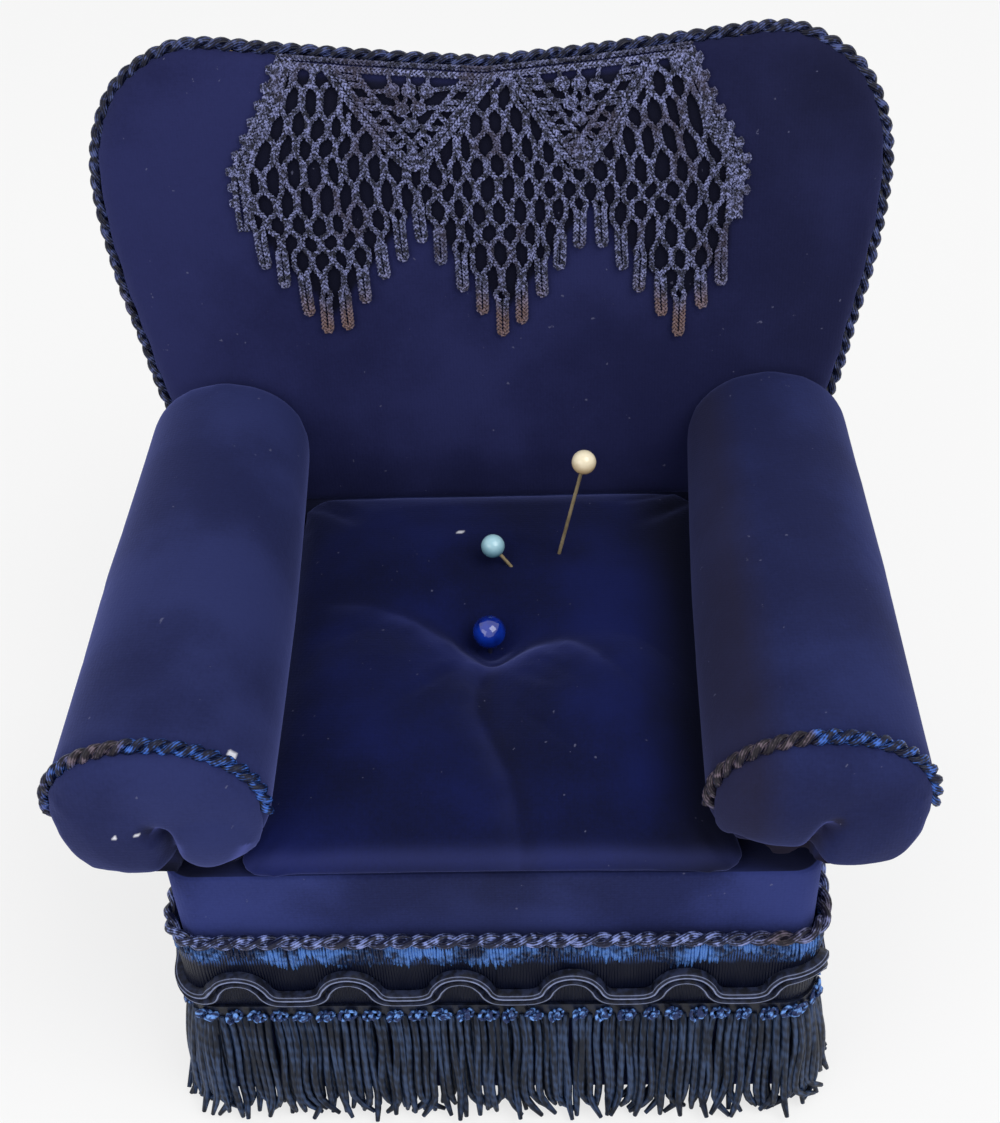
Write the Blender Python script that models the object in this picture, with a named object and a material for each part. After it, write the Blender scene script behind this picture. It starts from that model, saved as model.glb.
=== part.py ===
"""Chair pincushion: a miniature wing armchair with a stuffed seat that takes pins.

Frame: metres, +Z up, origin at the middle of the base on the floor. The chair faces -Y.
Every trim on the base follows one rounded rectangle, and everything on the back follows
one outline on a leaning plane, so each piece is placed from the piece that carries it.
"""

import math

import bmesh
import bpy
from mathutils import Vector

MM = 0.001

# Fits
CLEARANCE = 0.3 * MM
PIN_BORE_PLAY = 0.25 * MM

# Base: a card box under a velvet cover, closed below with felt
BASE_WIDTH = 94.6 * MM
BASE_DEPTH = 94.6 * MM
BASE_HEIGHT = 57.2 * MM
BASE_CORNER_RADIUS = 4.0 * MM
FELT_THICKNESS = 1.5 * MM
FELT_INSET = 1.2 * MM
COVER_THICKNESS = 1.0 * MM
CARD_THICKNESS = 1.5 * MM
BOTTOM_BOARD_LIFT = 3.0 * MM
WELL_SIDE_LEDGE = 16.0 * MM
WELL_FRONT_LEDGE = 5.6 * MM
WELL_REAR_LEDGE = 12.0 * MM

# Back: padded front, card board and padded rear, leaning away from the seat
BACK_LEAN = math.radians(10)
BACK_WIDTH = 126.7 * MM
BACK_HEIGHT = 80.1 * MM
BACK_FOOT_INSET = 1.8 * MM
FRONT_PAD_THICKNESS = 5.0 * MM
REAR_PAD_THICKNESS = 2.8 * MM
BOARD_THICKNESS = 2.2 * MM
BOARD_TAB_WIDTH = 50.0 * MM
BOARD_TAB_DEPTH = 30.0 * MM
BACK_CORD_DIAMETER = 2.3 * MM

# Arms: stuffed rolls that overhang the base, closed in front by a panel
ARM_WIDTH = 29.8 * MM
ARM_HEIGHT = 26.3 * MM
ARM_BELLY_HEIGHT = 15.2 * MM
ARM_OVERHANG = 13.6 * MM
ARM_FRONT_SETBACK = 1.3 * MM
ARM_REAR_NARROWING = 1.6 * MM
ARM_REAR_SPLAY = 1.4 * MM
ARM_SEAM_INSET = 1.2 * MM
ARM_REAR_ROUNDING = 4.0 * MM
ARM_PANEL_BULGE = 4.2 * MM
ARM_PANEL_EDGE = 1.2 * MM
ARM_CORD_DIAMETER = 2.3 * MM

# Seat cushion: a pillow on the deck with a plug that fills the well
SEAT_WIDTH = 70.2 * MM
SEAT_FRONT_OVERHANG = 0.6 * MM
SEAT_CORNER_RADIUS = 4.0 * MM
SEAT_SEAM_HEIGHT = 1.4 * MM
SEAT_UNDERCUT = 1.5 * MM
SEAT_CROWN = 3.8 * MM
SEAT_REAR_SLACK = 0.35
TUFT_X = -1.1 * MM
TUFT_Y = -0.9 * MM
TUFT_DEPTH = 5.4 * MM
TUFT_RADIUS = 7.0 * MM
LOBE_RISE = 1.7 * MM
LOBE_SIDE = 18.0 * MM
LOBE_FORWARD = 21.0 * MM
LOBE_WIDTH = 17.5 * MM
LOBE_DEPTH = 20.0 * MM
BEAD_DIAMETER = 5.6 * MM
THREAD_DIAMETER = 0.7 * MM
ANCHOR_DIAMETER = 9.0 * MM
ANCHOR_THICKNESS = 1.8 * MM

# Folds that run from the tuft: where each ends from there, its depth and its width
SEAT_FOLDS = [
    (6.0 * MM, -44.0 * MM, 1.7 * MM, 3.2 * MM),
    (-19.6 * MM, 4.1 * MM, 1.5 * MM, 2.6 * MM),
    (16.2 * MM, -3.8 * MM, 1.5 * MM, 2.6 * MM),
]

# Pins: where each enters the seat, and how it leans there
PIN_LENGTH = 36.0 * MM
PIN_DIAMETER = 0.7 * MM
PIN_POINT_LENGTH = 2.8 * MM
PIN_HEAD_DIAMETER = 4.3 * MM
CREAM_PIN_ENTRY = (10.2 * MM, 15.4 * MM)
CREAM_PIN_LEAN = (0.22, -0.02)
CREAM_PIN_SHOWS = 20.8 * MM
BLUE_PIN_ENTRY = (2.4 * MM, 13.1 * MM)
BLUE_PIN_LEAN = (-0.80, 0.27)
BLUE_PIN_SHOWS = 4.9 * MM

# Lace: a crocheted mesh with two closed fans and three points
LACE_THICKNESS = 1.0 * MM
LACE_TOP_WIDTH = 65.4 * MM
LACE_WIDTH = 82.4 * MM
LACE_TOP_INSET = 1.9 * MM
LACE_SHOULDER_DROP = 17.0 * MM
LACE_TIP_HEIGHT = 32.2 * MM
LACE_VALLEY_HEIGHT = 50.3 * MM
LACE_POINT_PITCH = 29.0 * MM
LACE_POINT_SHIFT = 2.2 * MM
LACE_TAIL_LENGTH = 5.0 * MM
LACE_TAIL_COUNT = 25
LACE_MESH_WIDTH = 3.9 * MM
LACE_MESH_HEIGHT = 6.8 * MM
LACE_STRAND = 1.1 * MM
LACE_FAN_HALF_WIDTH = 13.2 * MM
LACE_FAN_HEIGHT = 17.5 * MM
LACE_FAN_HOLE = 2.4 * MM
LACE_HEADING_HOLE = 2.6 * MM

# Trims round the base, from the top down
BASE_CORD_DIAMETER = 2.4 * MM
BASE_CORD_HEIGHT = 43.7 * MM
BAND_HEIGHT = 14.6 * MM
BAND_THICKNESS = 1.0 * MM
GIMP_WIDTH = 2.6 * MM
GIMP_THICKNESS = 1.1 * MM
GIMP_MIDDLE_HEIGHT = 32.75 * MM
GIMP_WAVE = 2.55 * MM
GIMP_WAVES = 22
KNOT_COUNT = 104
KNOT_WIDTH = 2.1 * MM
KNOT_BULGE = 0.8 * MM
TAPE_THICKNESS = 1.4 * MM
TAPE_HEIGHT = 3.5 * MM
STRAND_BOW = 2.2 * MM
STRAND_TIP_HEIGHT = 0.7 * MM
STRAND_LENGTH_SPREAD = 2.0 * MM

# Facets
CORD_SIDES = 6
ARM_SIDES = 24
SEAT_SPOKES = 28
CORNER_STEPS = 3
BORE_SIDES = 8
PIN_SIDES = 6
ANCHOR_SIDES = 16
BEAD_FACETS = (12, 7)
PEARL_FACETS = (10, 7)

# Finishes: colour, roughness, and how metallic where it is
VELVET_FINISH = ((0.035, 0.035, 0.17), 0.85)
BACK_VELVET_FINISH = ((0.04, 0.04, 0.19), 0.85)
BASE_VELVET_FINISH = ((0.045, 0.05, 0.19), 0.85)
SEAT_VELVET_FINISH = ((0.02, 0.02, 0.13), 0.85)
CARD_FINISH = ((0.45, 0.36, 0.25), 0.9)
FELT_FINISH = ((0.02, 0.02, 0.06), 0.95)
CORD_FINISH = ((0.012, 0.014, 0.06), 0.4)
THREAD_FINISH = ((0.01, 0.01, 0.05), 0.6)
ANCHOR_FINISH = ((0.6, 0.55, 0.45), 0.5)
BEAD_FINISH = ((0.01, 0.04, 0.35), 0.08)
STEEL_FINISH = ((0.6, 0.6, 0.6), 0.25, 1.0)
LACE_FINISH = ((0.07, 0.075, 0.15), 0.8)
BAND_FINISH = ((0.03, 0.07, 0.25), 0.35)
GIMP_FINISH = ((0.05, 0.06, 0.14), 0.5)
FRINGE_FINISH = ((0.03, 0.045, 0.12), 0.55)
PEARL_FINISHES = {
    "pin_cream": ((0.85, 0.72, 0.48), 0.3),
    "pin_blue": ((0.4, 0.68, 0.8), 0.3),
}

# Half outline of the back as shares of its half width and height, from above the foot to the top
BACK_SHARES = [
    (0.829, 0.125),
    (0.901, 0.250),
    (0.944, 0.412),
    (0.977, 0.537),
    (1.000, 0.712),
    (0.982, 0.830),
    (0.919, 0.926),
    (0.813, 0.984),
    (0.718, 1.000),
    (0.529, 0.986),
    (0.268, 0.965),
    (0.000, 0.948),
]
BACK_MIDDLE_SHARE = 0.5

# Rings of each pad, as shares of the way from its middle to its outline
FRONT_PAD_LEVELS = (0.97, 0.9, 0.75)
REAR_PAD_LEVELS = (0.92,)

# Derived places
HALF_WIDTH = BASE_WIDTH / 2
HALF_DEPTH = BASE_DEPTH / 2
COVER_BOTTOM = FELT_THICKNESS + CLEARANCE
BOX_INSET = COVER_THICKNESS + CLEARANCE
DECK_TOP = BASE_HEIGHT - COVER_THICKNESS - CLEARANCE
BOARD_BOTTOM = COVER_BOTTOM + BOTTOM_BOARD_LIFT
SEAT_FLOOR = BASE_HEIGHT + CLEARANCE
BACK_TOTAL = FRONT_PAD_THICKNESS + BOARD_THICKNESS + REAR_PAD_THICKNESS + 2 * CLEARANCE
FACE_Y = HALF_DEPTH - BACK_TOTAL / math.cos(BACK_LEAN)
BACK_ORIGIN = Vector((0, FACE_Y, BASE_HEIGHT))
BACK_UP = Vector((0, math.sin(BACK_LEAN), math.cos(BACK_LEAN)))
BACK_NORMAL = Vector((0, -math.cos(BACK_LEAN), math.sin(BACK_LEAN)))
ARM_X = HALF_WIDTH + ARM_OVERHANG - ARM_WIDTH / 2
ARM_FRONT_Y = -HALF_DEPTH + ARM_FRONT_SETBACK
ARM_MIDDLE_Z = SEAT_FLOOR + ARM_BELLY_HEIGHT
SEAT_FRONT_Y = -HALF_DEPTH - SEAT_FRONT_OVERHANG
SEAT_REAR_Y = FACE_Y - CLEARANCE
SEAT_MIDDLE_Y = (SEAT_FRONT_Y + SEAT_REAR_Y) / 2
SEAT_HALF_DEPTH = (SEAT_REAR_Y - SEAT_FRONT_Y) / 2
SEAM_Z = SEAT_FLOOR + SEAT_SEAM_HEIGHT
BAND_TOP = BASE_CORD_HEIGHT - BASE_CORD_DIAMETER / 2 - CLEARANCE
BAND_BOTTOM = BAND_TOP - BAND_HEIGHT
TAPE_TOP = BAND_BOTTOM - CLEARANCE
TAPE_BOTTOM = TAPE_TOP - TAPE_HEIGHT


def clear_scene():
    """Empties the scene of what Blender starts with."""
    for obj in list(bpy.data.objects):
        bpy.data.objects.remove(obj, do_unlink=True)


def new_collection(name):
    """A collection linked to the scene."""
    collection = bpy.data.collections.new(name)
    bpy.context.scene.collection.children.link(collection)
    return collection


def principled(name, color, roughness, metallic=0.0):
    """A plain Principled material."""
    material = bpy.data.materials.new(name)
    material.use_nodes = True
    shader = material.node_tree.nodes["Principled BSDF"]
    shader.inputs["Base Color"].default_value = (*color, 1.0)
    shader.inputs["Roughness"].default_value = roughness
    shader.inputs["Metallic"].default_value = metallic
    return material


def add_object(name, bm, finish, smooth=True):
    """Turns a bmesh into a named sub-part with its own material."""
    bmesh.ops.recalc_face_normals(bm, faces=bm.faces)
    mesh = bpy.data.meshes.new(name)
    bm.to_mesh(mesh)
    bm.free()
    if smooth:
        mesh.shade_smooth()
        mesh.set_sharp_from_angle(angle=math.radians(40))
    mesh.materials.append(principled(name + "_finish", *finish))
    obj = bpy.data.objects.new(name, mesh)
    PARTS.objects.link(obj)
    return obj


def add_cutter(name, bm):
    """A helper solid that only Booleans use."""
    bmesh.ops.recalc_face_normals(bm, faces=bm.faces)
    mesh = bpy.data.meshes.new(name)
    bm.to_mesh(mesh)
    bm.free()
    obj = bpy.data.objects.new(name, mesh)
    obj.hide_render = True
    obj.display_type = "WIRE"
    CUTTERS.objects.link(obj)
    return obj


def cut(obj, cutter):
    """Takes the cutter out of the object."""
    modifier = obj.modifiers.new("cut_" + cutter.name, "BOOLEAN")
    modifier.operation = "DIFFERENCE"
    modifier.object = cutter


def join(obj, other):
    """Adds the helper solid to the object."""
    modifier = obj.modifiers.new("join_" + other.name, "BOOLEAN")
    modifier.operation = "UNION"
    modifier.object = other


def block(width, depth, bottom, top, radius=0.0, center_y=0.0):
    """An upright box, its four upright edges rounded."""
    bm = bmesh.new()
    bmesh.ops.create_cube(bm, size=1.0)
    for vert in bm.verts:
        vert.co.x *= width
        vert.co.y = vert.co.y * depth + center_y
        vert.co.z = bottom if vert.co.z < 0 else top
    if radius > 0:
        upright = [e for e in bm.edges if abs(e.verts[0].co.z - e.verts[1].co.z) > (top - bottom) / 2]
        bmesh.ops.bevel(bm, geom=upright, offset=radius, segments=CORNER_STEPS, profile=0.5, affect="EDGES")
    return bm


def rod(start, end, radius, sides):
    """A cylinder from one point to another."""
    bm = bmesh.new()
    axis = end - start
    turn = axis.to_track_quat("Z", "Y").to_matrix().to_4x4()
    turn.translation = (start + end) / 2
    bmesh.ops.create_cone(
        bm, cap_ends=True, segments=sides, radius1=radius, radius2=radius, depth=axis.length, matrix=turn
    )
    return bm


def ball(center, diameter, segments, rings):
    """A sphere."""
    bm = bmesh.new()
    bmesh.ops.create_uvsphere(bm, u_segments=segments, v_segments=rings, radius=diameter / 2)
    bmesh.ops.translate(bm, vec=center, verts=bm.verts)
    return bm


def loft(rings, closed=False):
    """Skins a row of equal rings. An open row gets a flat or fanned cap at each end."""
    bm = bmesh.new()
    rows = [[bm.verts.new(point) for point in ring] for ring in rings]
    count = len(rows[0])
    pairs = list(zip(rows, rows[1:]))
    if closed:
        pairs.append((rows[-1], rows[0]))
    for low, high in pairs:
        for i in range(count):
            j = (i + 1) % count
            bm.faces.new((low[i], low[j], high[j], high[i]))
    if not closed:
        bm.faces.new(rows[0])
        bm.faces.new(rows[-1])
    return bm


def tube(name, points, radius, finish, closed=False):
    """A plain round cord along the points, with filled ends."""
    data = bpy.data.curves.new(name, "CURVE")
    data.dimensions = "3D"
    data.bevel_depth = radius
    data.bevel_resolution = CORD_SIDES // 2 - 2
    data.use_fill_caps = True
    spline = data.splines.new("POLY")
    spline.points.add(len(points) - 1)
    for target, point in zip(spline.points, points):
        target.co = (*point, 1.0)
    spline.use_cyclic_u = closed
    data.materials.append(principled(name + "_finish", *finish))
    obj = bpy.data.objects.new(name, data)
    PARTS.objects.link(obj)
    return obj


def smooth_line(points, steps):
    """A Catmull-Rom curve through the points, with that many steps between two of them."""
    ends = [2 * points[0] - points[1], *points, 2 * points[-1] - points[-2]]
    line = []
    for a, b, c, d in zip(ends, ends[1:], ends[2:], ends[3:]):
        for step in range(steps):
            t = step / steps
            curve = (2 * a - 5 * b + 4 * c - d) * t**2 + (3 * b - a - 3 * c + d) * t**3
            line.append(0.5 * (2 * b + (c - a) * t + curve))
    line.append(points[-1])
    return line


def bump(distance, width):
    """A bell curve, 1 at no distance."""
    return math.exp(-((distance / width) ** 2))


def wobble(index, seed):
    """A repeatable number between -1 and 1 for each copy of a repeated form."""
    return math.sin(index * 12.9898 + seed * 78.233) * math.cos(index * 4.1414 + seed * 3.7)


# The rounded rectangle that the trims follow


def base_path(share, out=0.0):
    """Point and outward direction at a share of the way round the base, from the middle of the front."""
    straight_x = HALF_WIDTH - BASE_CORNER_RADIUS
    straight_y = HALF_DEPTH - BASE_CORNER_RADIUS
    arc = BASE_CORNER_RADIUS * math.pi / 2
    quarter_turns = [straight_x * 2, straight_y * 2] * 2
    distance = (share % 1.0) * (4 * arc + sum(quarter_turns)) + straight_x
    centers = [
        (straight_x, -straight_y),
        (straight_x, straight_y),
        (-straight_x, straight_y),
        (-straight_x, -straight_y),
    ]
    distance %= 4 * arc + sum(quarter_turns)
    for side, length in enumerate(quarter_turns):
        facing = side * math.pi / 2 - math.pi / 2
        normal = Vector((math.cos(facing), math.sin(facing), 0))
        along = Vector((-normal.y, normal.x, 0))
        center = Vector((*centers[side], 0))
        if distance <= length:
            point = center + normal * (BASE_CORNER_RADIUS + out) - along * (length - distance)
            return point, normal
        distance -= length
        if distance <= arc:
            angle = facing + distance / BASE_CORNER_RADIUS
            normal = Vector((math.cos(angle), math.sin(angle), 0))
            return center + normal * (BASE_CORNER_RADIUS + out), normal
        distance -= arc
    return base_path(0.0, out)


def path_shares():
    """Shares of the way round at which a plain trim needs a point: the ends and middles of the corners."""
    straight_x = BASE_WIDTH - 2 * BASE_CORNER_RADIUS
    straight_y = BASE_DEPTH - 2 * BASE_CORNER_RADIUS
    arc = BASE_CORNER_RADIUS * math.pi / 2
    total = 2 * straight_x + 2 * straight_y + 4 * arc
    place = straight_x / 2
    shares = []
    for length in (straight_y, straight_x, straight_y, straight_x):
        shares += [(place + arc * step / CORNER_STEPS) / total for step in range(CORNER_STEPS + 1)]
        place += arc + length
    return shares


# The outline and the plane of the back


def back_point(x, height, out=0.0):
    """A point on the leaning plane of the back's face, moved out of it towards the seat."""
    return BACK_ORIGIN + Vector((x, 0, 0)) + BACK_UP * height + BACK_NORMAL * out


def back_half_outline():
    """The right half of the outline, from the foot to the middle of the top."""
    foot = Vector((HALF_WIDTH - BACK_FOOT_INSET, 0))
    points = [foot] + [Vector((x * BACK_WIDTH / 2, y * BACK_HEIGHT)) for x, y in BACK_SHARES]
    return smooth_line(points, 2)


def back_outline():
    """The whole outline, from the right foot over the top to the left foot."""
    right = back_half_outline()
    left = [Vector((-point.x, point.y)) for point in reversed(right[:-1])]
    return right + left


BACK_MIDDLE = Vector((0, BACK_HEIGHT * BACK_MIDDLE_SHARE))


def outline_share(x, height):
    """How far a point lies from the middle of the back towards its outline: 1 on the outline."""
    ray = Vector((x, height)) - BACK_MIDDLE
    if ray.length < 1e-9:
        return 0.0
    outline = back_outline()
    for a, b in zip(outline, outline[1:] + outline[:1]):
        edge = b - a
        across = ray.x * edge.y - ray.y * edge.x
        if abs(across) < 1e-15:
            continue
        start = a - BACK_MIDDLE
        reach = (start.x * edge.y - start.y * edge.x) / across
        place = (start.x * ray.y - start.y * ray.x) / across
        if reach > 0 and -1e-6 <= place <= 1 + 1e-6:
            return 1 / reach
    return 1.0


def pad_rise(share):
    """Height of a back pad over its board, as a share of its thickness: flat, with soft edges."""
    return 0.4 + 0.6 * math.sqrt(max(0.0, 1 - min(share, 1.0) ** 10))


def top_of_back(x):
    """Height of the outline's top edge at that distance from the middle."""
    half = [point for point in back_half_outline() if point.y > BACK_HEIGHT * 0.9]
    for a, b in zip(half, half[1:]):
        if b.x <= abs(x) <= a.x:
            return a.y + (b.y - a.y) * (a.x - abs(x)) / (a.x - b.x)
    return half[0].y


# Base


def make_base():
    """Felt underside, card box with a well for the cushion, and the velvet cover over both."""
    felt_width = BASE_WIDTH - 2 * FELT_INSET
    felt_depth = BASE_DEPTH - 2 * FELT_INSET
    felt = block(felt_width, felt_depth, 0.0, FELT_THICKNESS, BASE_CORNER_RADIUS - FELT_INSET)
    add_object("underside_felt", felt, FELT_FINISH)

    inner_radius = BASE_CORNER_RADIUS - BOX_INSET
    box_width = BASE_WIDTH - 2 * BOX_INSET
    box_depth = BASE_DEPTH - 2 * BOX_INSET
    walls = block(box_width, box_depth, COVER_BOTTOM, DECK_TOP, inner_radius)
    box = add_object("base_box", walls, CARD_FINISH)
    inside_width = box_width - 2 * CARD_THICKNESS
    inside_depth = box_depth - 2 * CARD_THICKNESS
    board_top = BOARD_BOTTOM + CARD_THICKNESS
    cavity = block(inside_width, inside_depth, board_top, DECK_TOP - CARD_THICKNESS)
    cut(box, add_cutter("box_cavity", cavity))
    recess = block(inside_width, inside_depth, COVER_BOTTOM - CLEARANCE, BOARD_BOTTOM)
    cut(box, add_cutter("box_recess", recess))
    well = add_cutter("well", well_block(0.0, DECK_TOP - 2 * CARD_THICKNESS, BASE_HEIGHT + CLEARANCE))
    cut(box, well)
    slot = add_cutter("tab_slot", tab_block(CLEARANCE, SEAT_FLOOR))
    cut(box, slot)
    hole_start = tuft_point(BOARD_BOTTOM - CLEARANCE)
    thread_hole = rod(hole_start, tuft_point(board_top + CLEARANCE), thread_bore(), BORE_SIDES)
    cut(box, add_cutter("thread_hole", thread_hole))

    skin = block(BASE_WIDTH, BASE_DEPTH, COVER_BOTTOM, BASE_HEIGHT, BASE_CORNER_RADIUS)
    cover = add_object("base_cover", skin, BASE_VELVET_FINISH)
    hollow = block(
        BASE_WIDTH - 2 * COVER_THICKNESS,
        BASE_DEPTH - 2 * COVER_THICKNESS,
        0.0,
        BASE_HEIGHT - COVER_THICKNESS,
        BASE_CORNER_RADIUS - COVER_THICKNESS,
    )
    cut(cover, add_cutter("cover_hollow", hollow))
    cut(cover, well)
    cut(cover, slot)


def well_block(shrink, bottom, top):
    """The well's own shape, drawn in on every side by the given amount."""
    front = -HALF_DEPTH + WELL_FRONT_LEDGE + shrink
    rear = HALF_DEPTH - WELL_REAR_LEDGE - shrink
    width = BASE_WIDTH - 2 * WELL_SIDE_LEDGE - 2 * shrink
    return block(width, rear - front, bottom, top, 0.0, (front + rear) / 2)


def tab_block(grow, top):
    """The tab of the back's board, straight down from the board's foot, grown on every side by that much."""
    front = face_y(SEAT_FLOOR) + (FRONT_PAD_THICKNESS + CLEARANCE) / math.cos(BACK_LEAN) + CLEARANCE - grow
    depth = BOARD_THICKNESS - CLEARANCE + 2 * grow
    bottom = BASE_HEIGHT - BOARD_TAB_DEPTH - grow
    return block(BOARD_TAB_WIDTH + 2 * grow, depth, bottom, top, 0.0, front + depth / 2)


# Seat


def seat_radius(angle, half_width, front, rear, radius, origin):
    """Distance from the tuft to a rounded rectangle, along that direction."""
    ray = Vector((math.cos(angle), math.sin(angle)))
    low = 0.0
    high = BASE_WIDTH
    for _ in range(40):
        middle = (low + high) / 2
        point = origin + ray * middle
        dx = max(abs(point.x) - (half_width - radius), 0.0)
        dy = max(point.y - (rear - radius), (front + radius) - point.y, 0.0)
        inside = math.hypot(dx, dy) <= radius
        low, high = (middle, high) if inside else (low, middle)
    return low


def seat_angles():
    """Directions from the tuft that share out the pillow's edge, two of them at each rounded corner."""
    half = SEAT_WIDTH / 2
    round_off = SEAT_CORNER_RADIUS * 0.8
    corners = [(half, SEAT_FRONT_Y), (half, SEAT_REAR_Y), (-half, SEAT_REAR_Y), (-half, SEAT_FRONT_Y)]
    edge = []
    for (x, y), (next_x, next_y) in zip(corners, corners[1:] + corners[:1]):
        start = Vector((x, y))
        run = Vector((next_x, next_y)) - start
        steps = SEAT_SPOKES // 4 - 1
        for step in range(steps + 1):
            share = (round_off + (run.length - 2 * round_off) * step / steps) / run.length
            edge.append(start + run * share)
    return [math.atan2(point.y - TUFT_Y, point.x - TUFT_X) for point in edge]


def lobe(x, y, side):
    """One of the two full front halves of the cushion: a share of their rise."""
    across = (x - TUFT_X - side * LOBE_SIDE) / LOBE_WIDTH
    along = (y - TUFT_Y + LOBE_FORWARD) / LOBE_DEPTH
    return max(0.0, 1 - math.hypot(across, along) ** 3)


def ray_dip(x, y, run_x, run_y, depth, width):
    """A fold in the velvet that runs from the tuft and fades out at its end."""
    run = Vector((run_x, run_y))
    here = Vector((x, y)) - Vector((TUFT_X, TUFT_Y))
    along = here.dot(run.normalized()) / run.length
    if along <= 0:
        return 0.0
    across = abs(here.x * run.y - here.y * run.x) / run.length
    return depth * bump(across, width) * max(0.0, 1 - along) ** 0.6


def seat_top(x, y):
    """Height of the cushion's upper side."""
    across = min(abs(x) / (SEAT_WIDTH / 2), 1.0)
    along = min(abs(y - SEAT_MIDDLE_Y) / SEAT_HALF_DEPTH, 1.0)
    crown = SEAT_CROWN * math.sqrt((1 - across**4) * (1 - along**6))
    flatter = 1 - SEAT_REAR_SLACK * max(0.0, y - TUFT_Y) / SEAT_HALF_DEPTH
    lobes = LOBE_RISE * (lobe(x, y, -1) + lobe(x, y, 1))
    folds = sum(ray_dip(x, y, *fold) for fold in SEAT_FOLDS)
    tuft = TUFT_DEPTH * bump(math.hypot(x - TUFT_X, y - TUFT_Y), TUFT_RADIUS)
    edge = (1 - across**8) * (1 - along**8)
    return SEAM_Z + crown * flatter + (lobes - folds - tuft) * edge


def tuft_point(z):
    """A point on the tuft's axis."""
    return Vector((TUFT_X, TUFT_Y, z))


def thread_bore():
    """Radius of the way that the tuft's thread takes through other pieces."""
    return THREAD_DIAMETER / 2 + CLEARANCE


def make_seat():
    """The cushion, in rings round its tuft: the plug below, the pillow above, a thread bore through."""
    origin = Vector((TUFT_X, TUFT_Y))
    angles = seat_angles()
    half = SEAT_WIDTH / 2
    plug_front = -HALF_DEPTH + WELL_FRONT_LEDGE + CLEARANCE
    plug_rear = HALF_DEPTH - WELL_REAR_LEDGE - CLEARANCE
    plug_half = HALF_WIDTH - WELL_SIDE_LEDGE - CLEARANCE
    plug = [seat_radius(a, plug_half, plug_front, plug_rear, SEAT_CORNER_RADIUS, origin) for a in angles]
    pillow = [seat_radius(a, half, SEAT_FRONT_Y, SEAT_REAR_Y, SEAT_CORNER_RADIUS, origin) for a in angles]
    plug_bottom = BOARD_BOTTOM + CARD_THICKNESS + CLEARANCE

    def ring(radii, height):
        points = []
        for angle, radius in zip(angles, radii):
            x = TUFT_X + radius * math.cos(angle)
            y = TUFT_Y + radius * math.sin(angle)
            points.append((x, y, height(x, y) if callable(height) else height))
        return points

    bore = [thread_bore()] * SEAT_SPOKES
    rings = [ring(bore, plug_bottom), ring(plug, plug_bottom), ring(plug, SEAT_FLOOR)]
    rings.append(ring([r - SEAT_UNDERCUT for r in pillow], SEAT_FLOOR))
    rings.append(ring(pillow, SEAM_Z))
    for share in (0.96, 0.86, 0.7, 0.52, 0.35, 0.2, 0.1):
        rings.append(ring([r * share for r in pillow], seat_top))
    rings.append(ring(bore, seat_top))
    cushion = add_object("seat_cushion", loft(rings, closed=True), SEAT_VELVET_FINISH)
    for name, entry, lean, shows in PINS:
        tip, head = pin_line(entry, lean, shows)
        bore_radius = PIN_DIAMETER / 2 + PIN_BORE_PLAY
        end = tip - (head - tip).normalized() * CLEARANCE
        cut(cushion, add_cutter(name + "_bore", rod(end, head, bore_radius, PIN_SIDES)))

    bead_z = seat_top(TUFT_X, TUFT_Y) + CLEARANCE + BEAD_DIAMETER / 2
    bead = add_object("tuft_bead", ball(tuft_point(bead_z), BEAD_DIAMETER, *BEAD_FACETS), BEAD_FINISH)
    bead_bore = rod(tuft_point(bead_z - BEAD_DIAMETER), tuft_point(bead_z), thread_bore(), BORE_SIDES)
    cut(bead, add_cutter("bead_bore", bead_bore))
    anchor_top = BOARD_BOTTOM - CLEARANCE
    anchor_bottom = anchor_top - ANCHOR_THICKNESS
    thread_start = tuft_point(anchor_bottom + CLEARANCE)
    thread = rod(thread_start, tuft_point(bead_z - CLEARANCE), THREAD_DIAMETER / 2, PIN_SIDES)
    add_object("tuft_thread", thread, THREAD_FINISH)
    disc = rod(tuft_point(anchor_bottom), tuft_point(anchor_top), ANCHOR_DIAMETER / 2, ANCHOR_SIDES)
    anchor = add_object("tuft_anchor", disc, ANCHOR_FINISH)
    bore_start = tuft_point(anchor_bottom - CLEARANCE)
    anchor_bore = rod(bore_start, tuft_point(anchor_top + CLEARANCE), thread_bore(), BORE_SIDES)
    cut(anchor, add_cutter("anchor_bore", anchor_bore))


# Pins


def pin_line(entry, lean, shows):
    """The tip and the head's middle of a pin, from its entry point, its lean and the length that shows."""
    direction = Vector((*lean, 1)).normalized()
    surface = Vector((*entry, seat_top(*entry)))
    head = surface + direction * shows
    return head - direction * PIN_LENGTH, head


PINS = [
    ("pin_cream", CREAM_PIN_ENTRY, CREAM_PIN_LEAN, CREAM_PIN_SHOWS),
    ("pin_blue", BLUE_PIN_ENTRY, BLUE_PIN_LEAN, BLUE_PIN_SHOWS),
]


def make_pins():
    """Two steel pins with pearl heads, pushed into the seat."""
    for name, entry, lean, shows in PINS:
        tip, middle = pin_line(entry, lean, shows)
        direction = (middle - tip).normalized()
        radius = PIN_DIAMETER / 2
        pearl = ball(middle, PIN_HEAD_DIAMETER, *PEARL_FACETS)
        head = add_object(name + "_head", pearl, PEARL_FINISHES[name])
        socket = rod(middle - direction * PIN_HEAD_DIAMETER, middle, radius + CLEARANCE, BORE_SIDES)
        cut(head, add_cutter(name + "_socket", socket))
        shaft_start = tip + direction * PIN_POINT_LENGTH
        bm = rod(shaft_start, middle - direction * CLEARANCE, radius, PIN_SIDES)
        point = min(bm.faces, key=lambda face: (face.calc_center_median() - shaft_start).length)
        narrow = bmesh.ops.extrude_discrete_faces(bm, faces=[point])["faces"][0]
        for vert in narrow.verts:
            vert.co = tip + (vert.co - shaft_start) * 0.3
        add_object(name + "_shaft", bm, STEEL_FINISH)


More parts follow.
